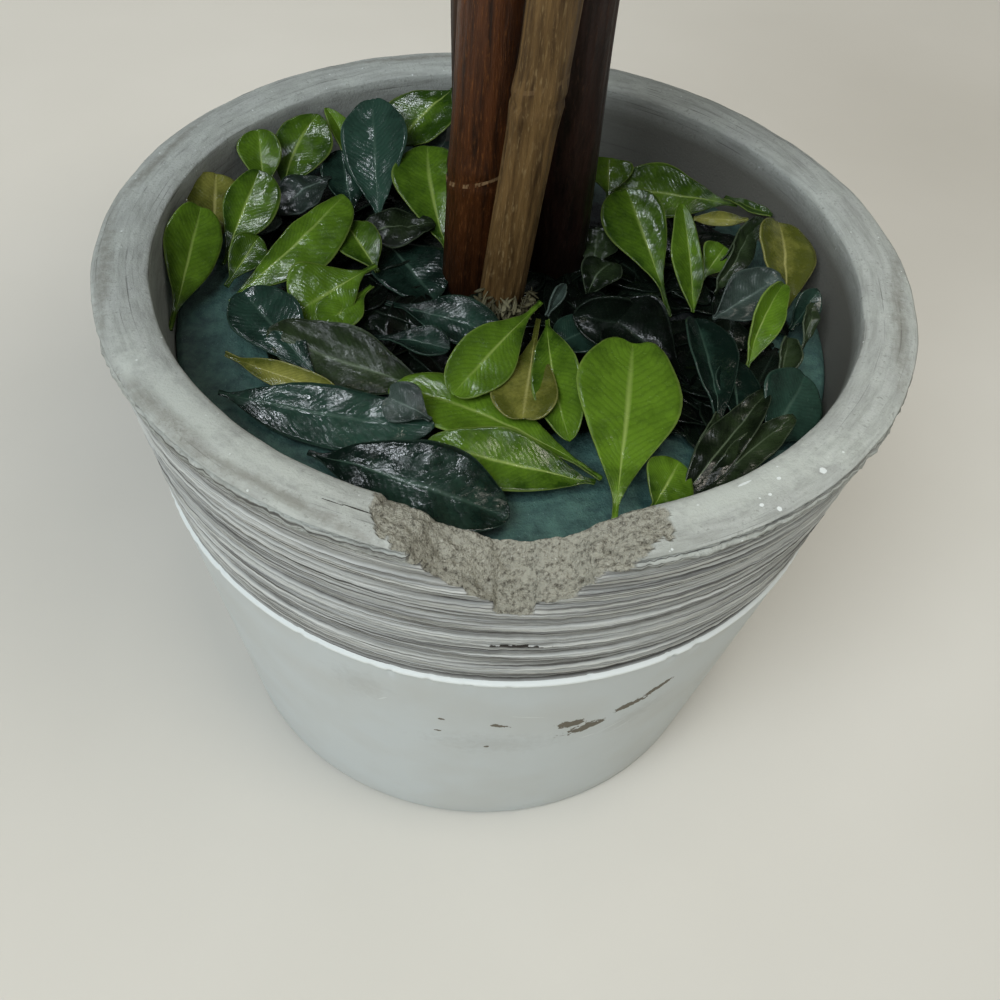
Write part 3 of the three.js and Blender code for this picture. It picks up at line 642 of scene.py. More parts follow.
for seed, (name, stem) in enumerate(STEMS.items()):
    low, high = STEM_HEIGHTS[0], STEM_HEIGHTS[-1]
    select_none()
    bpy.ops.mesh.primitive_cylinder_add(vertices=STEM_SIDES, radius=MM, depth=(high - low) * MM,
                                        location=(0, 0, 0))
    piece = bpy.context.object
    piece.name = name + "_bark"
    piece.data.name = piece.name
    for _ in range(2):
        end_heights = get_points(piece)[edge_ends(piece), 2]
        select_edges(piece, np.abs(end_heights[:, 0] - end_heights[:, 1]) > 0.1)
        bpy.ops.mesh.subdivide(number_cuts=STEM_CUTS)
        bpy.ops.object.mode_set(mode="OBJECT")
    unit = get_points(piece)
    heights = unit[:, 2] + (low + high) / 2
    flat = unit[:, :2]
    middle = stem_line(stem["path"], heights)
    share = (heights - low) / (high - low)
    radius = stem["foot"] + (stem["top"] - stem["foot"]) * share
    from_node = heights - stem["node"] - 0.6 * flat[:, 0]
    for (wide, high_by), sign in ((NODE_SWELL, 1), (NODE_GROOVE, -1)):
        radius += sign * high_by * np.exp(-((from_node / wide) ** 2))
    grain_at = np.column_stack([flat * 1.3 + seed * 9, heights * 0.012])
    fibre_at = np.column_stack([flat * 3.6 + seed * 5, heights * 0.03])
    radius += stem["ridges"] * (rough(grain_at, 1, 2) + 0.7 * rough(fibre_at, 1, 2))
    places = np.column_stack([middle + flat * radius[:, None], heights])
    set_points(piece, places)
    finish_piece(piece, bark_material("preserved_bark_" + name, stem, seed))
    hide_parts(name)

# Loose leaves
# Preserved box leaves that fell from the ball and lie over the foam, glossy with glycerine, in
# green, olive, blue-green and grey. Each is a thin folded blade with a pale midrib and a painted
# highlight along its rim.
LEAF_ROWS = 34
LEAF_COLUMNS = 16
LEAF_THICK = 0.26
LEAF_LEVEL = (0, -0.45, 0.89)
CRUMPLE = {"fresh": 0.36, "olive": 0.36, "moss": 0.95, "dark": 0.42, "grey": 0.7, "shadow_scrap": 0.6}

# Each row: foot, tip, width, then roll, fold and arch in degrees, chosen against the photograph,
# and where a leaf needs it more of its form: where it is widest, how deep its tip is notched, how
# far it bends aside and twists, how its halves differ, how its edges curl, and how fresh it is.
LOOSE_LEAVES = {
    "fresh": [
        ((-48.7, -14, 80.4), (-48.2, 7, 88.3), 9, 34, 8, 10, {"peak": 0.68, "notch": 0.8, "tint": 0.75}),
        ((-40.2, 13.6, 82), (-43.4, 26.4, 90), 7.4, 10, 20, -10, {"peak": 0.76, "twist": 30, "tint": 0.6}),
        ((-38.5, 20.1, 82.5), (-34.6, 32.3, 90.3), 11.5, 4, 10, 10,
         {"halves": (0.7, 1), "bend": -1.2, "tint": 0.35}),
        ((-27.5, 25.4, 83), (-34, 36.4, 89.4), 4.6, 20, 26, 8, {"peak": 0.6, "bend": 1}),
        ((-41.4, -7.5, 81.5), (-27.6, 15.4, 86.6), 12.5, 2, 8, 14,
         {"halves": (0.4, 1), "bend": 1, "tint": 0.75}),
        ((-20.2, 1, 83), (-27, 11.5, 84), 7.5, 6, 12, 18, {"notch": 0.6}),
        ((-20.4, 0.6, 84.6), (-31, -10.4, 82.8), 11.5, -10, 12, 16,
         {"peak": 0.72, "notch": 1, "tint": 0.8}),
        ((-20.6, -2.4, 83), (-26.2, -12, 81.7), 7.5, 10, 14, 12, {"peak": 0.7}),
        ((-43, -3, 80.6), (-39.5, 5.5, 84), 6, 12, 16, 10, {"peak": 0.66}),
        ((-44.4, 1.4, 81.3), (-41.5, 17.2, 88.4), 11, 10, 12, 12, {"peak": 0.64, "halves": (0.6, 1)}),
        ((-10, 9, 81.5), (-16, 31.5, 87), 12.5, 8, 10, 16, {"peak": 0.62, "bend": -1, "tint": 0.55}),
        ((-13.1, 46.9, 89.5), (-21.6, 36.5, 84), 13, 14, 8, 12, {}),
        ((5, -7.3, 87), (-6.4, -26.6, 84.6), 8.8, -6, 14, 16, {"peak": 0.7, "notch": 0.4, "tint": 0.8}),
        ((6.1, -10.5, 86.4), (10.3, -31.3, 83), 8.8, 10, 24, 16,
         {"halves": (1, 0.8), "bend": 0.6, "tint": 0.7}),
        ((14, -36.8, 81.3), (-8.8, -33.6, 82.4), 9, 6, 10, 16, {"peak": 0.56, "bend": -0.6, "tint": 0.6}),
        ((16.3, -44.4, 82.5), (18.4, -13.4, 87.6), 14.4, 2, 7, 14,
         {"peak": 0.64, "notch": 1.8, "tint": 0.95}),
        ((14.9, -35.6, 80.7), (-15.1, -23.1, 81.8), 10.5, 20, 8, 10,
         {"peak": 0.68, "bend": 1, "tint": 0.85}),
        ((21.4, -41, 82), (25, -33.2, 83), 7.5, 10, 10, 10, {"tint": 0.8}),
        ((25.4, -0.8, 81.6), (17.6, 21, 89.2), 13, 0, 12, 14,
         {"peak": 0.74, "halves": (1, 0.7), "tint": 0.45}),
        ((15.2, 24.4, 85), (14.8, 31.6, 88), 8.5, 0, 12, 8, {"peak": 0.66, "tint": 0.7}),
        ((37.7, 28.8, 83.5), (15.6, 28.2, 85), 9.5, -14, 8, 6, {"peak": 0.64, "tint": 0.5}),
        ((35.5, 30, 84), (43, 25, 84.4), 2.4, -10, 16, 10, {"tint": 0}),
        ((28.9, 0.2, 82), (26.6, 18.6, 89), 7, 6, 22, 18,
         {"peak": 0.44, "halves": (1, 0.6), "tint": 0.7}),
        ((30.4, 8.1, 82), (34, 14, 85), 6, 10, 14, 12, {"peak": 0.7}),
        ((36, -12.4, 82.8), (42, 3, 87), 6, 20, 26, 22,
         {"peak": 0.5, "bend": -1.2, "curl": 20, "tint": 0.9}),
    ],
    "olive": [
        ((-46.7, 3, 81), (-48.2, 15.6, 88), 11, 26, 12, 10, {"peak": 0.7}),
        ((-39.2, -19.2, 81.6), (-22.1, -25.1, 82), 4.4, 10, 24, 14, {"peak": 0.6, "bend": 0.5}),
        ((4.9, -8.4, 84.6), (3.6, -30.2, 84), 9.5, 8, 12, 12, {"peak": 0.76, "notch": 1.2, "tint": 0.35}),
        ((39, 23.8, 84), (30.1, 24.1, 83), 2.6, -20, 16, 10, {"peak": 0.5}),
        ((43, 0.6, 82), (42.5, 18.9, 88), 10.5, 20, 10, 16, {"peak": 0.62, "notch": 0.6, "tint": 0.15}),
    ],
    "moss": [
        ((-25.4, 8.6, 83.4), (-12.9, 13.9, 84), 7.5, -14, 6, 8, {"peak": 0.5}),
        ((-8.5, -21, 80.4), (-33.9, -15.2, 83), 10.5, -4, 10, 14, {"peak": 0.58, "bend": -0.8, "curl": 10}),
        ((12.2, -1.4, 82.8), (15.7, 5.8, 85.7), 6.5, 0, 12, 16, {"peak": 0.7, "bend": -1}),
        ((12.9, 8.6, 82), (13.8, 15.6, 85), 7, 0, 10, 14, {}),
        ((39.8, -16.5, 82.5), (41.6, -8.6, 86), 5.6, 14, 34, 14, {"peak": 0.62, "curl": 40}),
        ((25.4, -38, 81), (37.8, -20, 85.4), 6, -6, 20, 12, {"peak": 0.45, "twist": 26}),
        ((26.6, -37.3, 80.8), (30.5, -24, 84), 4, 20, 24, 10, {"peak": 0.5, "twist": -40}),
        ((27.4, -36.6, 80.8), (41.2, -23, 83.6), 5, 10, 20, 12, {"peak": 0.5, "twist": 20}),
        ((45, -6, 82), (46.7, 1.5, 84.8), 3, 20, 20, 20, {"twist": 50}),
        ((32.2, 4.1, 83), (39.3, 20, 87), 4.6, 24, 24, 8, {"peak": 0.5, "twist": 50}),
        ((33.7, 11.3, 84), (40.5, 19.1, 87.5), 3.6, 10, 24, 8, {"twist": 40}),
    ],
    "dark": [
        ((31.2, -27.5, 81.8), (27.7, -7.2, 86.4), 9, 22, 16, 18, {"peak": 0.66, "curl": 16, "tint": 0.1}),
        ((34, -24.3, 81.6), (33.3, -13.5, 84.8), 7.5, 18, 14, 14, {"peak": 0.6, "tint": 0}),
        ((-21.8, 13.8, 82.5), (-26.4, 39.4, 90.3), 11.5, -8, 8, 10, {"peak": 0.62, "curl": 8, "tint": 1}),
        ((-26.7, 17.3, 81.5), (-30.5, 29, 86), 8, 12, 8, 12, {"peak": 0.6}),
        ((-38.4, -26.8, 81.2), (-8.1, -31.4, 83.2), 9.6, -6, -6, 16,
         {"peak": 0.54, "bend": 1, "tint": 0.85}),
        ((-24.4, -36, 80.8), (2.9, -45, 82), 13.5, -14, 6, 8, {"peak": 0.58, "tint": 0.35}),
        ((-24.4, -23.4, 80.9), (-39.6, -7, 83.4), 10, 6, 10, 10, {"peak": 0.68, "notch": 0.6}),
        ((-18.6, -14.7, 83.4), (-7.4, -17.1, 84.6), 5.5, -12, 14, 26, {"peak": 0.72, "curl": 20}),
        ((-18.2, -4.8, 82), (-0.6, -12, 83.6), 8.5, -4, 12, 14, {"peak": 0.7, "curl": 10}),
        ((-21.3, 13.2, 80.6), (-11.2, -1.6, 80.8), 12.5, -12, 8, 10, {"peak": 0.6}),
        ((37.3, -27.3, 81), (43.8, -14.8, 84.5), 11, 22, 8, 14, {"peak": 0.6}),
        ((43.8, -1.7, 82), (47.7, 3.7, 86), 4.5, 20, 14, 10, {}),
        ((6.3, -13, 82.6), (13.3, -7.4, 83.2), 7, 0, 12, 14, {}),
    ],
    "grey": [
        ((31.4, -2.9, 83.6), (42, 5.4, 86.4), 8.5, 8, 10, 18, {"peak": 0.55, "curl": 10}),
        ((-31.2, 22.8, 85), (-39, 14.2, 82.8), 8, 10, 8, 14, {"peak": 0.55}),
        ((-38.7, 16.3, 81.8), (-41.2, 10, 80.9), 5.5, 8, 8, 10, {}),
        ((-13.3, 41.8, 85.5), (-18.9, 37.2, 83), 7, 8, 8, 10, {}),
        ((5.9, -9.8, 86.4), (8.2, -3.6, 87.6), 3, 10, 40, 20, {"curl": 30}),
        ((-8.6, -31.2, 84.3), (-15.4, -27.8, 85), 6, 0, 12, 20, {"notch": 1, "twist": 24}),
    ],
    # Near-black leaves whose darkness is painted shade in the gaps.
    "shadow_scrap": [
        ((24.3, -4.1, 81.5), (9.8, -10.1, 87.4), 9, -30, 18, 26, {"peak": 0.7, "curl": 26}),
        ((27.8, -15.2, 81), (15.3, -7.4, 86), 12.5, -8, 18, 26, {"peak": 0.7, "curl": 26}),
        ((32.9, -11.8, 83), (33.5, -5, 85), 6.5, 8, 14, 12, {}),
        ((8.5, 0.5, 82), (15, -6.5, 82.4), 8, 0, 12, 16, {}),
    ],
}


def blade(long, wide, rows, columns, fold=0, arch=0, hook=0, notch=0, crumple=0, seed=0, peak=0.58,
          bend=0, twist=0, curl=0, halves=(1, 1)):
    """One box leaf along +Y from the origin, face up: its points, its faces, and how far across
    and along the blade each point lies. It is widest at its peak, and blunt at the tip."""
    share = (1 - np.cos(np.linspace(0, math.pi, rows + 1)[1:-1]))[:, None] / 2
    across = np.linspace(-1, 1, columns + 1)
    half = np.sin(math.pi * share ** (math.log(0.5) / math.log(peak))) ** (1.12 - 0.58 * share)
    half = np.maximum(wide / 2 * half, min(0.4, wide / 6)) * np.where(across < 0, halves[0], halves[1])
    half = half * (1 + 0.05 * np.sin(11 * share + seed + np.sign(across)))
    fine = np.linspace(0, 1, 41)
    lean = math.radians(arch) * (0.5 - fine) - math.radians(hook) * fine ** 2
    run = np.concatenate([[0], np.cumsum(np.cos((lean[1:] + lean[:-1]) / 2))])
    rise = np.concatenate([[0], np.cumsum(np.sin((lean[1:] + lean[:-1]) / 2))])
    chord = math.hypot(run[-1], rise[-1])
    dip = math.atan2(rise[-1], run[-1])
    run, rise = ((run * math.cos(dip) + rise * math.sin(dip)) / chord * long,
                 (rise * math.cos(dip) - run * math.sin(dip)) / chord * long)
    at = np.interp(share, fine, run)
    up = np.interp(share, fine, rise)
    tilt = np.interp(share, fine, lean) - dip
    flank = np.radians(fold + curl * np.abs(across) / 2)
    wing = half * across * np.cos(flank)
    lift = half * np.abs(across) * np.sin(flank)
    turn = math.radians(twist) * (share - 0.5)
    x = wing * np.cos(turn) - lift * np.sin(turn) + 4 * bend * share * (1 - share)
    lift = wing * np.sin(turn) + lift * np.cos(turn)
    if crumple:
        ripples = np.stack([x, at + 0 * x, 0 * x + 9 * seed], -1)
        lift = lift + crumple * (rough(ripples, 4.6, 2) + 0.4 * rough(ripples + 30, 1.5, 2))
    back = notch * np.exp(-((x / (0.17 * wide)) ** 2)) * np.clip((share - 0.75) / 0.25, 0, 1)
    inner = np.stack([x, at - lift * np.sin(tilt) - back, up + lift * np.cos(tilt)], -1).reshape(-1, 3)
    points = np.concatenate([[(0, 0, 0)], inner, [(0, long - notch, 0)]])
    wide_at = np.concatenate([[0], np.tile(across, rows - 1), [0]])
    long_at = np.concatenate([[0], np.repeat(share, columns + 1), [1]])
    faces = []
    end = len(points) - 1
    for j in range(columns):
        faces.append((0, 2 + j, 1 + j))
        top = 1 + (rows - 2) * (columns + 1)
        faces.append((end, top + j, top + j + 1))
        for i in range(rows - 2):
            corner = 1 + i * (columns + 1) + j
            faces.append((corner, corner + 1, corner + columns + 2, corner + columns + 1))
    return points, faces, wide_at, long_at


def laid(points, foot, tip, roll=0, level=LEAF_LEVEL):
    """Leaf points carried from their own frame to where the leaf lies."""
    foot = np.array(foot, float)
    along = np.array(tip, float) - foot
    along /= np.linalg.norm(along)
    side = np.cross(along, level)
    side /= np.linalg.norm(side)
    up = np.cross(side, along)
    turned = math.radians(roll)
    rolled = side * math.cos(turned) - up * math.sin(turned)
    raised = up * math.cos(turned) + side * math.sin(turned)
    return foot + points[:, :1] * rolled + points[:, 1:2] * along + points[:, 2:] * raised


def joined(name, parts):
    """One mesh from many small ones, each given as points, faces and values by name."""
    points = np.concatenate([part[0] for part in parts])
    starts = np.cumsum([0] + [len(part[0]) for part in parts])
    faces = [tuple(index + start for index in face)
             for part, start in zip(parts, starts) for face in part[1]]
    mesh = bpy.data.meshes.new(name)
    mesh.from_pydata((points * MM).tolist(), [], faces)
    piece = bpy.data.objects.new(name, mesh)
    bpy.context.scene.collection.objects.link(piece)
    for key in parts[0][2]:
        add_values(piece, key, np.concatenate([part[2][key] for part in parts]))
    return piece


def leaf_material(name, deep, fresh, rib, roughness, veins):
    """A waxed leaf: mottled between two greens and darker to its foot and margin, with faint side
    veins, a pale midrib, a painted highlight along its rim, and a wet gloss that fine wrinkles break up."""
    material, tree, shader, place = new_material(name)
    across = add_node(tree, "Attribute", {}, attribute_name="across").outputs["Fac"]
    along = add_node(tree, "Attribute", {}, attribute_name="along").outputs["Fac"]
    tint = add_node(tree, "Attribute", {}, attribute_name="tint").outputs["Fac"]
    mottle = add_node(tree, "TexNoise", {"Vector": place, "Scale": 1 / 4, "Detail": 5, "Roughness": 0.62})
    grain = add_node(tree, "TexNoise", {"Vector": place, "Scale": 2.6, "Detail": 3, "Roughness": 0.7})
    cloudy = add_node(tree, "Math", {0: mottle, 1: 1.7, 2: tint}, operation="MULTIPLY_ADD")
    off_rib = add_node(tree, "Math", {0: across}, operation="ABSOLUTE")
    margin = add_node(tree, "Math", {0: off_rib, 1: -0.46, 2: cloudy}, operation="MULTIPLY_ADD")
    shade = add_node(tree, "Math", {0: grain, 1: 0.5, 2: margin}, operation="MULTIPLY_ADD")
    # Each leaf is darker towards its foot.
    toward_foot = add_node(tree, "MapRange", {0: along, 2: 0.5, 3: 1.5, 4: 0.95})
    shade_share = add_node(tree, "MapRange", {0: shade, 1: toward_foot, 2: 1.95})
    slant = add_node(tree, "Math", {0: off_rib, 1: -4.5}, operation="MULTIPLY")
    climb = add_node(tree, "Math", {0: along, 1: veins, 2: slant}, operation="MULTIPLY_ADD")
    wander = add_node(tree, "Math", {0: mottle, 1: 2.4, 2: climb}, operation="MULTIPLY_ADD")
    angle = add_node(tree, "Math", {0: wander, 1: 2 * math.pi}, operation="MULTIPLY")
    ripple = add_node(tree, "Math", {0: angle}, operation="SINE")
    wrinkle = add_node(tree, "TexNoise", {"Vector": place, "Scale": 0.8, "Detail": 3, "Roughness": 0.6})
    vein_share = add_node(tree, "Math", {0: ripple, 1: wrinkle}, operation="MULTIPLY")
    vein_dark = add_node(tree, "MapRange", {0: vein_share, 1: 0.05, 2: 0.6, 4: 0.27})
    rib_share = add_node(tree, "MapRange", {0: off_rib, 1: 0.015, 2: 0.075, 3: 1, 4: 0})
    rib_fade = add_node(tree, "MapRange", {0: along, 1: 0.5, 2: 1, 3: 0.62, 4: 0.1})
    rib_pale = add_node(tree, "Math", {0: rib_share, 1: rib_fade}, operation="MULTIPLY")
    # A painted highlight along the rim, in the rib's colour.
    rim_highlight_share = add_node(tree, "MapRange", {0: off_rib, 1: 0.94, 2: 1, 4: 0.35})
    pale = add_node(tree, "Math", {0: rib_pale, 1: rim_highlight_share}, operation="MAXIMUM")
    ribbed = laid_over(tree, linear(deep), [(shade_share, linear(fresh)), (vein_dark, linear(deep)),
                                            (pale, linear(rib))])
    worn = add_node(tree, "MapRange", {0: wrinkle, 1: 0.35, 2: 0.65, 3: roughness - 0.04,
                                       4: roughness + 0.12})
    quilted = add_node(tree, "Math", {0: vein_share, 1: -0.14, 2: wrinkle}, operation="MULTIPLY_ADD")
    sunk = add_node(tree, "Math", {0: rib_share, 1: -0.5, 2: quilted}, operation="MULTIPLY_ADD")
    crinkled = add_node(tree, "Math", {0: grain, 1: 0.3, 2: sunk}, operation="MULTIPLY_ADD")
    bump = add_node(tree, "Bump", {"Height": crinkled, "Distance": 0.085 * MM, "Strength": 0.9})
    fill_inputs(tree, shader, {"Base Color": ribbed, "Roughness": worn, "Specular IOR Level": 0.4,
                               "Normal": bump})
    return material


# Each finish: the leaf's deep and fresh green, its pale rib, and its roughness. Glycerine leaves the
# greens wet and glossy, the greys have dried, the scraps are near black as painted shade, and the
# husk is dull.
LEAF_FINISHES = {
    "fresh": ("#253c0c", "#5a7a1f", "#9aac5b", 0.16),
    "olive": ("#4a4f1b", "#959347", "#b8b370", 0.2),
    "moss": ("#10180c", "#324026", "#67745a", 0.26),
    "dark": ("#0d1a14", "#2b4438", "#475d4f", 0.16),
    "grey": ("#212a25", "#46544c", "#6b7a70", 0.24),
    "shadow_scrap": ("#060906", "#141d15", "#2a362b", 0.2),
    "husk": ("#37331f", "#746f53", "#8f8a6d", 0.4),
}

# All leaves draw from one run of random numbers, most of them evenly between two bounds.
leaf_random = np.random.default_rng(11)
vary = leaf_random.uniform
litter_nodes = [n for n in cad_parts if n.startswith("fallen_leaves")]
loose_parts = {kind: [] for kind in LEAF_FINISHES}


def add_leaf(parts, foot, tip, wide, roll, level=LEAF_LEVEL, rows=LEAF_ROWS, columns=LEAF_COLUMNS,
             tint=None, **form):
    """Shapes one leaf, lays it from foot to tip, and adds it to a list of parts."""
    long = math.dist(foot, tip)
    points, faces, across, along = blade(long, wide, rows, columns, **form)
    tints = np.full(len(points), vary(0.2, 0.9) if tint is None else tint)
    parts.append((laid(points, foot, tip, roll, level), faces,
                  {"across": across, "along": along, "tint": tints}))


for kind, leaves in LOOSE_LEAVES.items():
    for foot, tip, wide, roll, fold, arch, form in leaves:
        add_leaf(loose_parts[kind], foot, tip, wide, roll, fold=fold, arch=arch, hook=vary(-6, 12),
                 crumple=CRUMPLE[kind], seed=vary(0, 6), **form)

# Crumpled scraps of leaf, near black as painted shade, fill the gaps under the whole ones, in beds
# given by their middle and how far they spread.
SCRAPS = 300
SCRAP_REACH = 46
SCRAP_FRONT = -33
SHADE_GAP_BEDS = [((22, 8), (11, 12)), ((31, -14), (6, 9)), ((-14, -5), (10, 8)), ((4, -16), (9, 6)),
              ((-24, 22), (10, 9)), ((30, 18), (9, 7))]
for shadow_scrap in range(SCRAPS):
    middle, spread = SHADE_GAP_BEDS[shadow_scrap % len(SHADE_GAP_BEDS)]
    x, y = leaf_random.normal(middle, spread)
    heading = vary(0, 2 * math.pi)
    long = vary(8, 15)
    z = vary(79.2, 80.4)
    step_x = long / 2 * math.cos(heading)
    step_y = long / 2 * math.sin(heading)
    foot = (x - step_x, y - step_y, z)
    tip = (x + step_x, y + step_y, z + vary(-0.3, 0.8))
    reach = max(math.hypot(*foot[:2]), math.hypot(*tip[:2]))
    if reach > SCRAP_REACH or min(foot[1], tip[1]) < SCRAP_FRONT:
        continue
    add_leaf(loose_parts["shadow_scrap"], foot, tip, long * vary(0.4, 0.6), vary(-12, 12), level=(0, 0, 1),
             rows=16, columns=8, crumple=0.4, fold=vary(2, 14), arch=vary(-5, 20), curl=vary(0, 14),
             twist=vary(-16, 16), seed=vary(0, 6))

# The foot of the tan stem is frayed: short pale shreds of its husk stand off it at the front.
HUSK_SHREDS = 110
HUSK_THICK = 0.08
HUSK_AXIS = (-0.5, -2.8)
fray = np.random.default_rng(3).uniform
for _ in range(HUSK_SHREDS):
    ends = []
    facing = fray(-50, 75)
    for spread, heights in (((3.2, 4.2), (83, 86.6)), ((3.8, 5.8), (82.4, 85.8))):
        facing += fray(-24, 24)
        out = fray(*spread)
        ends.append((HUSK_AXIS[0] + out * math.sin(math.radians(facing)),
                     HUSK_AXIS[1] - out * math.cos(math.radians(facing)), fray(*heights)))
    add_leaf(loose_parts["husk"], *ends, fray(0.25, 0.8), fray(-40, 40), rows=10, columns=4,
             tint=fray(0, 1), crumple=0.4, arch=fray(0, 50), twist=fray(-70, 70), curl=fray(0, 30),
             seed=fray(0, 6))

for kind, (deep, fresh, rib, roughness) in LEAF_FINISHES.items():
    piece = joined("loose_leaves_" + kind, loose_parts[kind])
    thicken = piece.modifiers.new("thickness", "SOLIDIFY")
    thicken.thickness = (HUSK_THICK if kind == "husk" else LEAF_THICK) * MM
    thicken.offset = 0
    select_none()
    bpy.context.view_layer.objects.active = piece
    piece.select_set(True)
    bpy.ops.object.modifier_apply(modifier=thicken.name)
    finish_piece(piece, leaf_material("preserved_box_leaf_" + kind, deep, fresh, rib, roughness, 24))
    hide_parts(*litter_nodes)

# Clipped ball
# Short box sprigs pushed close together into a round core, then clipped to a ball. Each sprig
# is a twig with opposite pairs of leaves whose tips end between the two clip radii.
BALL_Z = 320
BALL_RADIUS = 80
CLIP_LOW = 73
CORE_RADIUS = 64
SPRIGS = 64
SPRIG_LEVELS = (2, 7)
BALL_LEAF_LONG = 23
BALL_LEAF_WIDE = 14
SOURCE_SEED = 22
FINE_SPRIGS = 620
FINE_LEVELS = (-1, 3, 7)
FINE_LEAF_LONG = 17
FINE_LEAF_WIDE = 10.5
FINE_SEED = 31
TWIG_SIDES = 4
TWIG_RINGS = ((CORE_RADIUS - 4, 0.8), (CORE_RADIUS + 4, 0.7), (CORE_RADIUS + 10, 0.35))


def seeded(seed):
    """The same run of numbers from 0 to 1 as in the solids' source."""
    state = seed
    while True:
        state = (state * 1664525 + 1013904223) % 4294967296
        yield state / 4294967296


def turned_about(vector, axis, angle):
    """A vector turned about a unit axis, by an angle in radians."""
    return (vector * math.cos(angle) + np.cross(axis, vector) * math.sin(angle)
            + axis * np.dot(axis, vector) * (1 - math.cos(angle)))


def grow_sprigs(count, levels, long, wide, seed):
    """Sprigs that stand evenly over the ball by the source's rule: for each the ball's middle, its
    direction, and the foot, tip, width and roll of each of its leaves."""
    run = seeded(seed)
    centre = np.array((0, 0, BALL_Z), float)
    golden = math.pi * (3 - math.sqrt(5))
    for i in range(count):
        height = 1 - 2 * (i + 0.5) / count
        spread = math.sqrt(1 - height * height)
        out = np.array((math.cos(golden * i) * spread, math.sin(golden * i) * spread, height))
        out[0] += (next(run) - 0.5) * 0.12
        out[1] += (next(run) - 0.5) * 0.12
        out /= np.linalg.norm(out)
        swing = Vector((0, 1, 0)).rotation_difference(Vector(out))
        across = np.array(swing @ Vector((1, 0, 0)))
        spin = next(run) * math.pi
        leaves = []
        for level in levels:
            for half in (0, math.pi):
                aside = turned_about(across, out, spin + half)
                length = long * (0.85 + 0.3 * next(run))
                tip_radius = CLIP_LOW + (BALL_RADIUS - CLIP_LOW) * next(run)
                foot_radius = CORE_RADIUS + level
                cosine = (tip_radius ** 2 - foot_radius ** 2 - length ** 2) / (2 * foot_radius * length)
                lean = math.acos(min(1, max(-1, cosine)))
                roll = 50 * (next(run) - 0.5)
                foot = centre + out * foot_radius - 0.4 * aside
                tip = foot + out * length * math.cos(lean) + aside * length * math.sin(lean)
                leaves.append((foot, tip, wide * length / long, roll))
            spin += math.pi / 2
        yield centre, out, leaves


# Each finish of the ball's leaves, as for the loose ones. They are dry, so they are satin.
BALL_FINISHES = {
    "fresh": ("#305312", "#6a9424", "#9ab250", 0.34),
    "mid": ("#294816", "#527b25", "#84a04a", 0.36),
    "olive": ("#515f26", "#949c4b", "#bab674", 0.44),
}
ball_parts = {kind: [] for kind in BALL_FINISHES}
twig_parts = []
twig_turn = np.linspace(0, 2 * math.pi, TWIG_SIDES, endpoint=False)
growth = [*grow_sprigs(SPRIGS, SPRIG_LEVELS, BALL_LEAF_LONG, BALL_LEAF_WIDE, SOURCE_SEED),
          *grow_sprigs(FINE_SPRIGS, FINE_LEVELS, FINE_LEAF_LONG, FINE_LEAF_WIDE, FINE_SEED)]
for centre, out, leaves in growth:
    kind = ("fresh", "mid", "olive")[int(np.searchsorted((0.5, 0.86), leaf_random.random()))]
    for foot, tip, wide, roll in leaves:
        add_leaf(ball_parts[kind], foot, tip, wide, roll, level=out, rows=6, columns=4, fold=vary(6, 18),
                 arch=vary(10, 34), hook=vary(-8, 14), seed=vary(0, 6))
    side = np.cross(out, (0, 0, 1)) if abs(out[2]) < 0.9 else np.cross(out, (1, 0, 0))
    side /= np.linalg.norm(side)
    other = np.cross(out, side)
    round_twig = np.outer(np.cos(twig_turn), side) + np.outer(np.sin(twig_turn), other)
    rings = [centre + out * r + w * round_twig for r, w in TWIG_RINGS]
    faces = [(r * TWIG_SIDES + i, r * TWIG_SIDES + (i + 1) % TWIG_SIDES,
              (r + 1) * TWIG_SIDES + (i + 1) % TWIG_SIDES, (r + 1) * TWIG_SIDES + i)
             for r in range(2) for i in range(TWIG_SIDES)]
    faces += [tuple(range(TWIG_SIDES))[::-1], tuple(range(2 * TWIG_SIDES, 3 * TWIG_SIDES))]
    twig_parts.append((np.concatenate(rings), faces, {}))

for kind, (deep, fresh, rib, roughness) in BALL_FINISHES.items():
    piece = joined("ball_leaves_" + kind, ball_parts[kind])
    finish_piece(piece, leaf_material("clipped_box_leaf_" + kind, deep, fresh, rib, roughness, 14))
    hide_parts("clipped_ball")

twigs = joined("ball_twigs", twig_parts)
green_twig = {"bark": ("#4d4a22", "#2f2a14", "#77713a"), "rough": 0.6, "node": 0, "soak_and_shade": 0, "scar": 0}
finish_piece(twigs, bark_material("green_box_twig", green_twig, 6))
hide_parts("clipped_ball")

# The core is the dark moss-covered foam that the sprigs stand in.
select_none()
bpy.ops.mesh.primitive_ico_sphere_add(subdivisions=6, radius=(CORE_RADIUS - 2) * MM, location=(0, 0, 0))
core = bpy.context.object
core.name = "ball_core"
core.data.name = "ball_core"
core_at = get_points(core)
core_at *= 1 + 0.02 * rough(core_at, 6, 2)[:, None] + 0.012 * rough(core_at + 50, 2, 2)[:, None]
set_points(core, core_at + (0, 0, BALL_Z))
MOSS_DEEP = linear("#16200e")
MOSS_TIP = linear("#33421a")
moss, tree, shader, place = new_material("dried_moss_over_foam")
fuzz = add_node(tree, "TexNoise", {"Vector": place, "Scale": 0.5, "Detail": 6, "Roughness": 0.7})
fuzz_share = add_node(tree, "MapRange", {0: fuzz, 1: 0.4, 2: 0.62})
mossy = laid_over(tree, MOSS_DEEP, [(fuzz_share, MOSS_TIP)])
bump = add_node(tree, "Bump", {"Height": fuzz, "Distance": 1.2 * MM, "Strength": 0.8})
fill_inputs(tree, shader, {"Base Color": mossy, "Roughness": 0.95, "Normal": bump})
finish_piece(core, moss)
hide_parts("clipped_ball")

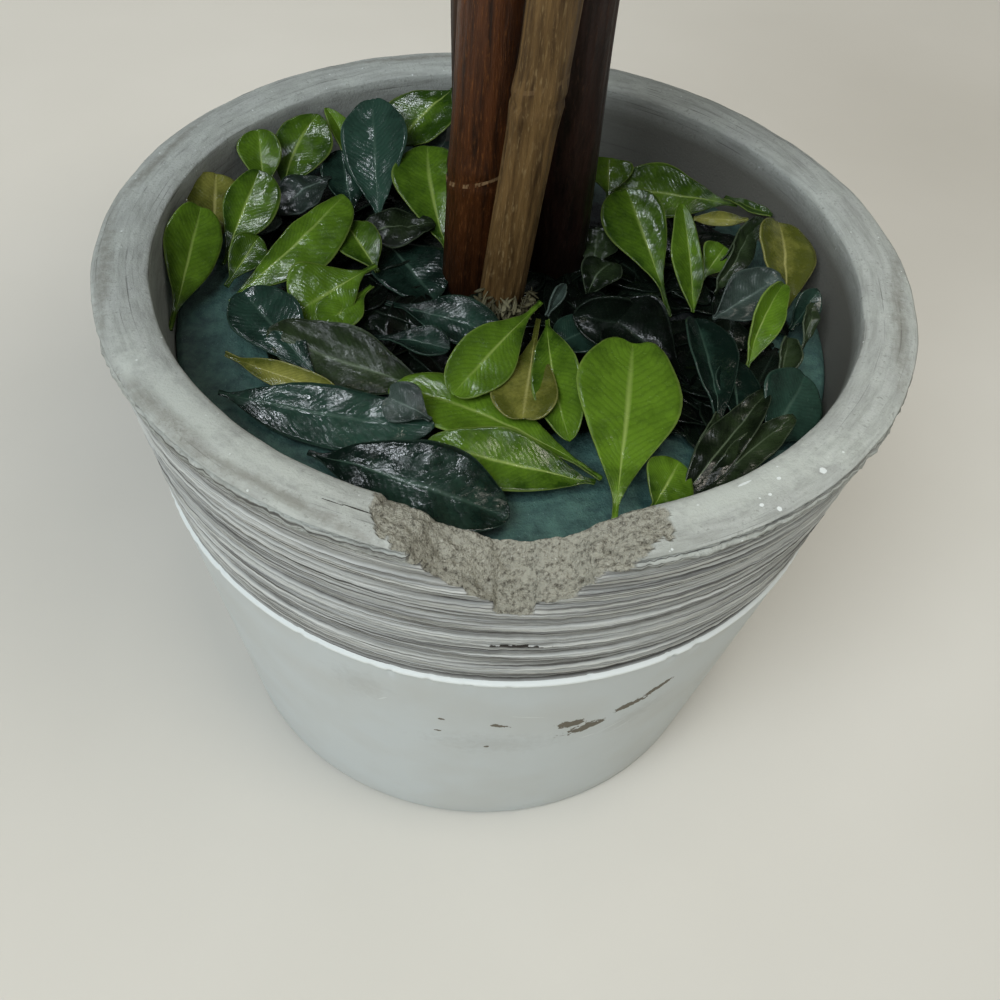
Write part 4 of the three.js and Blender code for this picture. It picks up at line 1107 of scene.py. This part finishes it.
# Floor, light and camera
# A plain pale floor under soft light from a large window on the left, with four small panes that
# give only glints, and the photograph's view: close to the rim, looking down with a slight roll.
FLOOR_SIZE = 6
FLOOR_DROP = 0.0002
VIEW_PLACE = (0, -0.13421, 0.18685)
VIEW_YAW = 0.0176
VIEW_PITCH = 0.8501
VIEW_ROLL = 0.1107
VIEW_LENS = 38.99

select_none()
bpy.ops.mesh.primitive_grid_add(x_subdivisions=8, y_subdivisions=8, size=FLOOR_SIZE,
                                location=(0, 0, -FLOOR_DROP))
floor = bpy.context.object
floor.name = "floor"
pale, tree, shader, place = new_material("matt_pale_floor")
cloud = add_node(tree, "TexNoise", {"Vector": place, "Scale": 1 / 60, "Detail": 3})
ground = laid_over(tree, linear("#c3c1b7"), [(cloud, linear("#cccac1"))])
fill_inputs(tree, shader, {"Base Color": ground, "Roughness": 0.9})
floor.data.materials.append(pale)

world = bpy.context.scene.world or bpy.data.worlds.new("room")
bpy.context.scene.world = world
world.use_nodes = True
fill_inputs(world.node_tree, world.node_tree.nodes["Background"],
            {"Color": linear("#e9e8e4"), "Strength": 0.4})
world.cycles_visibility.glossy = False


def add_light(name, place, target, size, watts, colour, soft=True, glints=True):
    """A square light that looks at a point. It can give only soft light, or only glints."""
    lamp = bpy.data.lights.new(name, "AREA")
    lamp.size = size
    lamp.energy = watts
    lamp.color = linear(colour)[:3]
    light = bpy.data.objects.new(name, lamp)
    light.location = place
    light.visible_glossy = glints
    light.visible_diffuse = soft
    light.rotation_euler = (Vector(target) - Vector(place)).to_track_quat("-Z", "Y").to_euler()
    bpy.context.scene.collection.objects.link(light)


add_light("window", (-0.8, -1.3, 1.8), (0, 0, 0.12), 1.2, 40, "#ebf4ff", glints=False)
for name, place in (("pane_front", (-0.5, -1.5, 1.9)), ("pane_left", (-1.3, -0.6, 1.9)),
                    ("pane_right", (1, -0.9, 1.9)), ("pane_back", (-0.7, 0.6, 2))):
    add_light(name, place, (0, 0, 0.1), 0.16, 7, "#f1f7ff", soft=False)
add_light("ceiling", (0.2, -0.3, 2.1), (0, 0, 0.1), 0.5, 17, "#fff6ea")

ahead = Vector((math.sin(VIEW_YAW) * math.cos(VIEW_PITCH), math.cos(VIEW_YAW) * math.cos(VIEW_PITCH),
                -math.sin(VIEW_PITCH)))
right = Vector((math.cos(VIEW_YAW), -math.sin(VIEW_YAW), 0))
over = right.cross(ahead)
tilted_right = math.cos(VIEW_ROLL) * right + math.sin(VIEW_ROLL) * over
tilted_over = math.cos(VIEW_ROLL) * over - math.sin(VIEW_ROLL) * right
lens = bpy.data.cameras.new("view")
lens.lens = VIEW_LENS
lens.sensor_width = 36
lens.clip_start = 0.005
camera = bpy.data.objects.new("view", lens)
axes = Matrix((tilted_right, tilted_over, -ahead)).transposed().to_4x4()
camera.matrix_world = Matrix.Translation(VIEW_PLACE) @ axes
bpy.context.scene.collection.objects.link(camera)
bpy.context.scene.camera = camera
bpy.context.scene.view_settings.view_transform = "Standard"
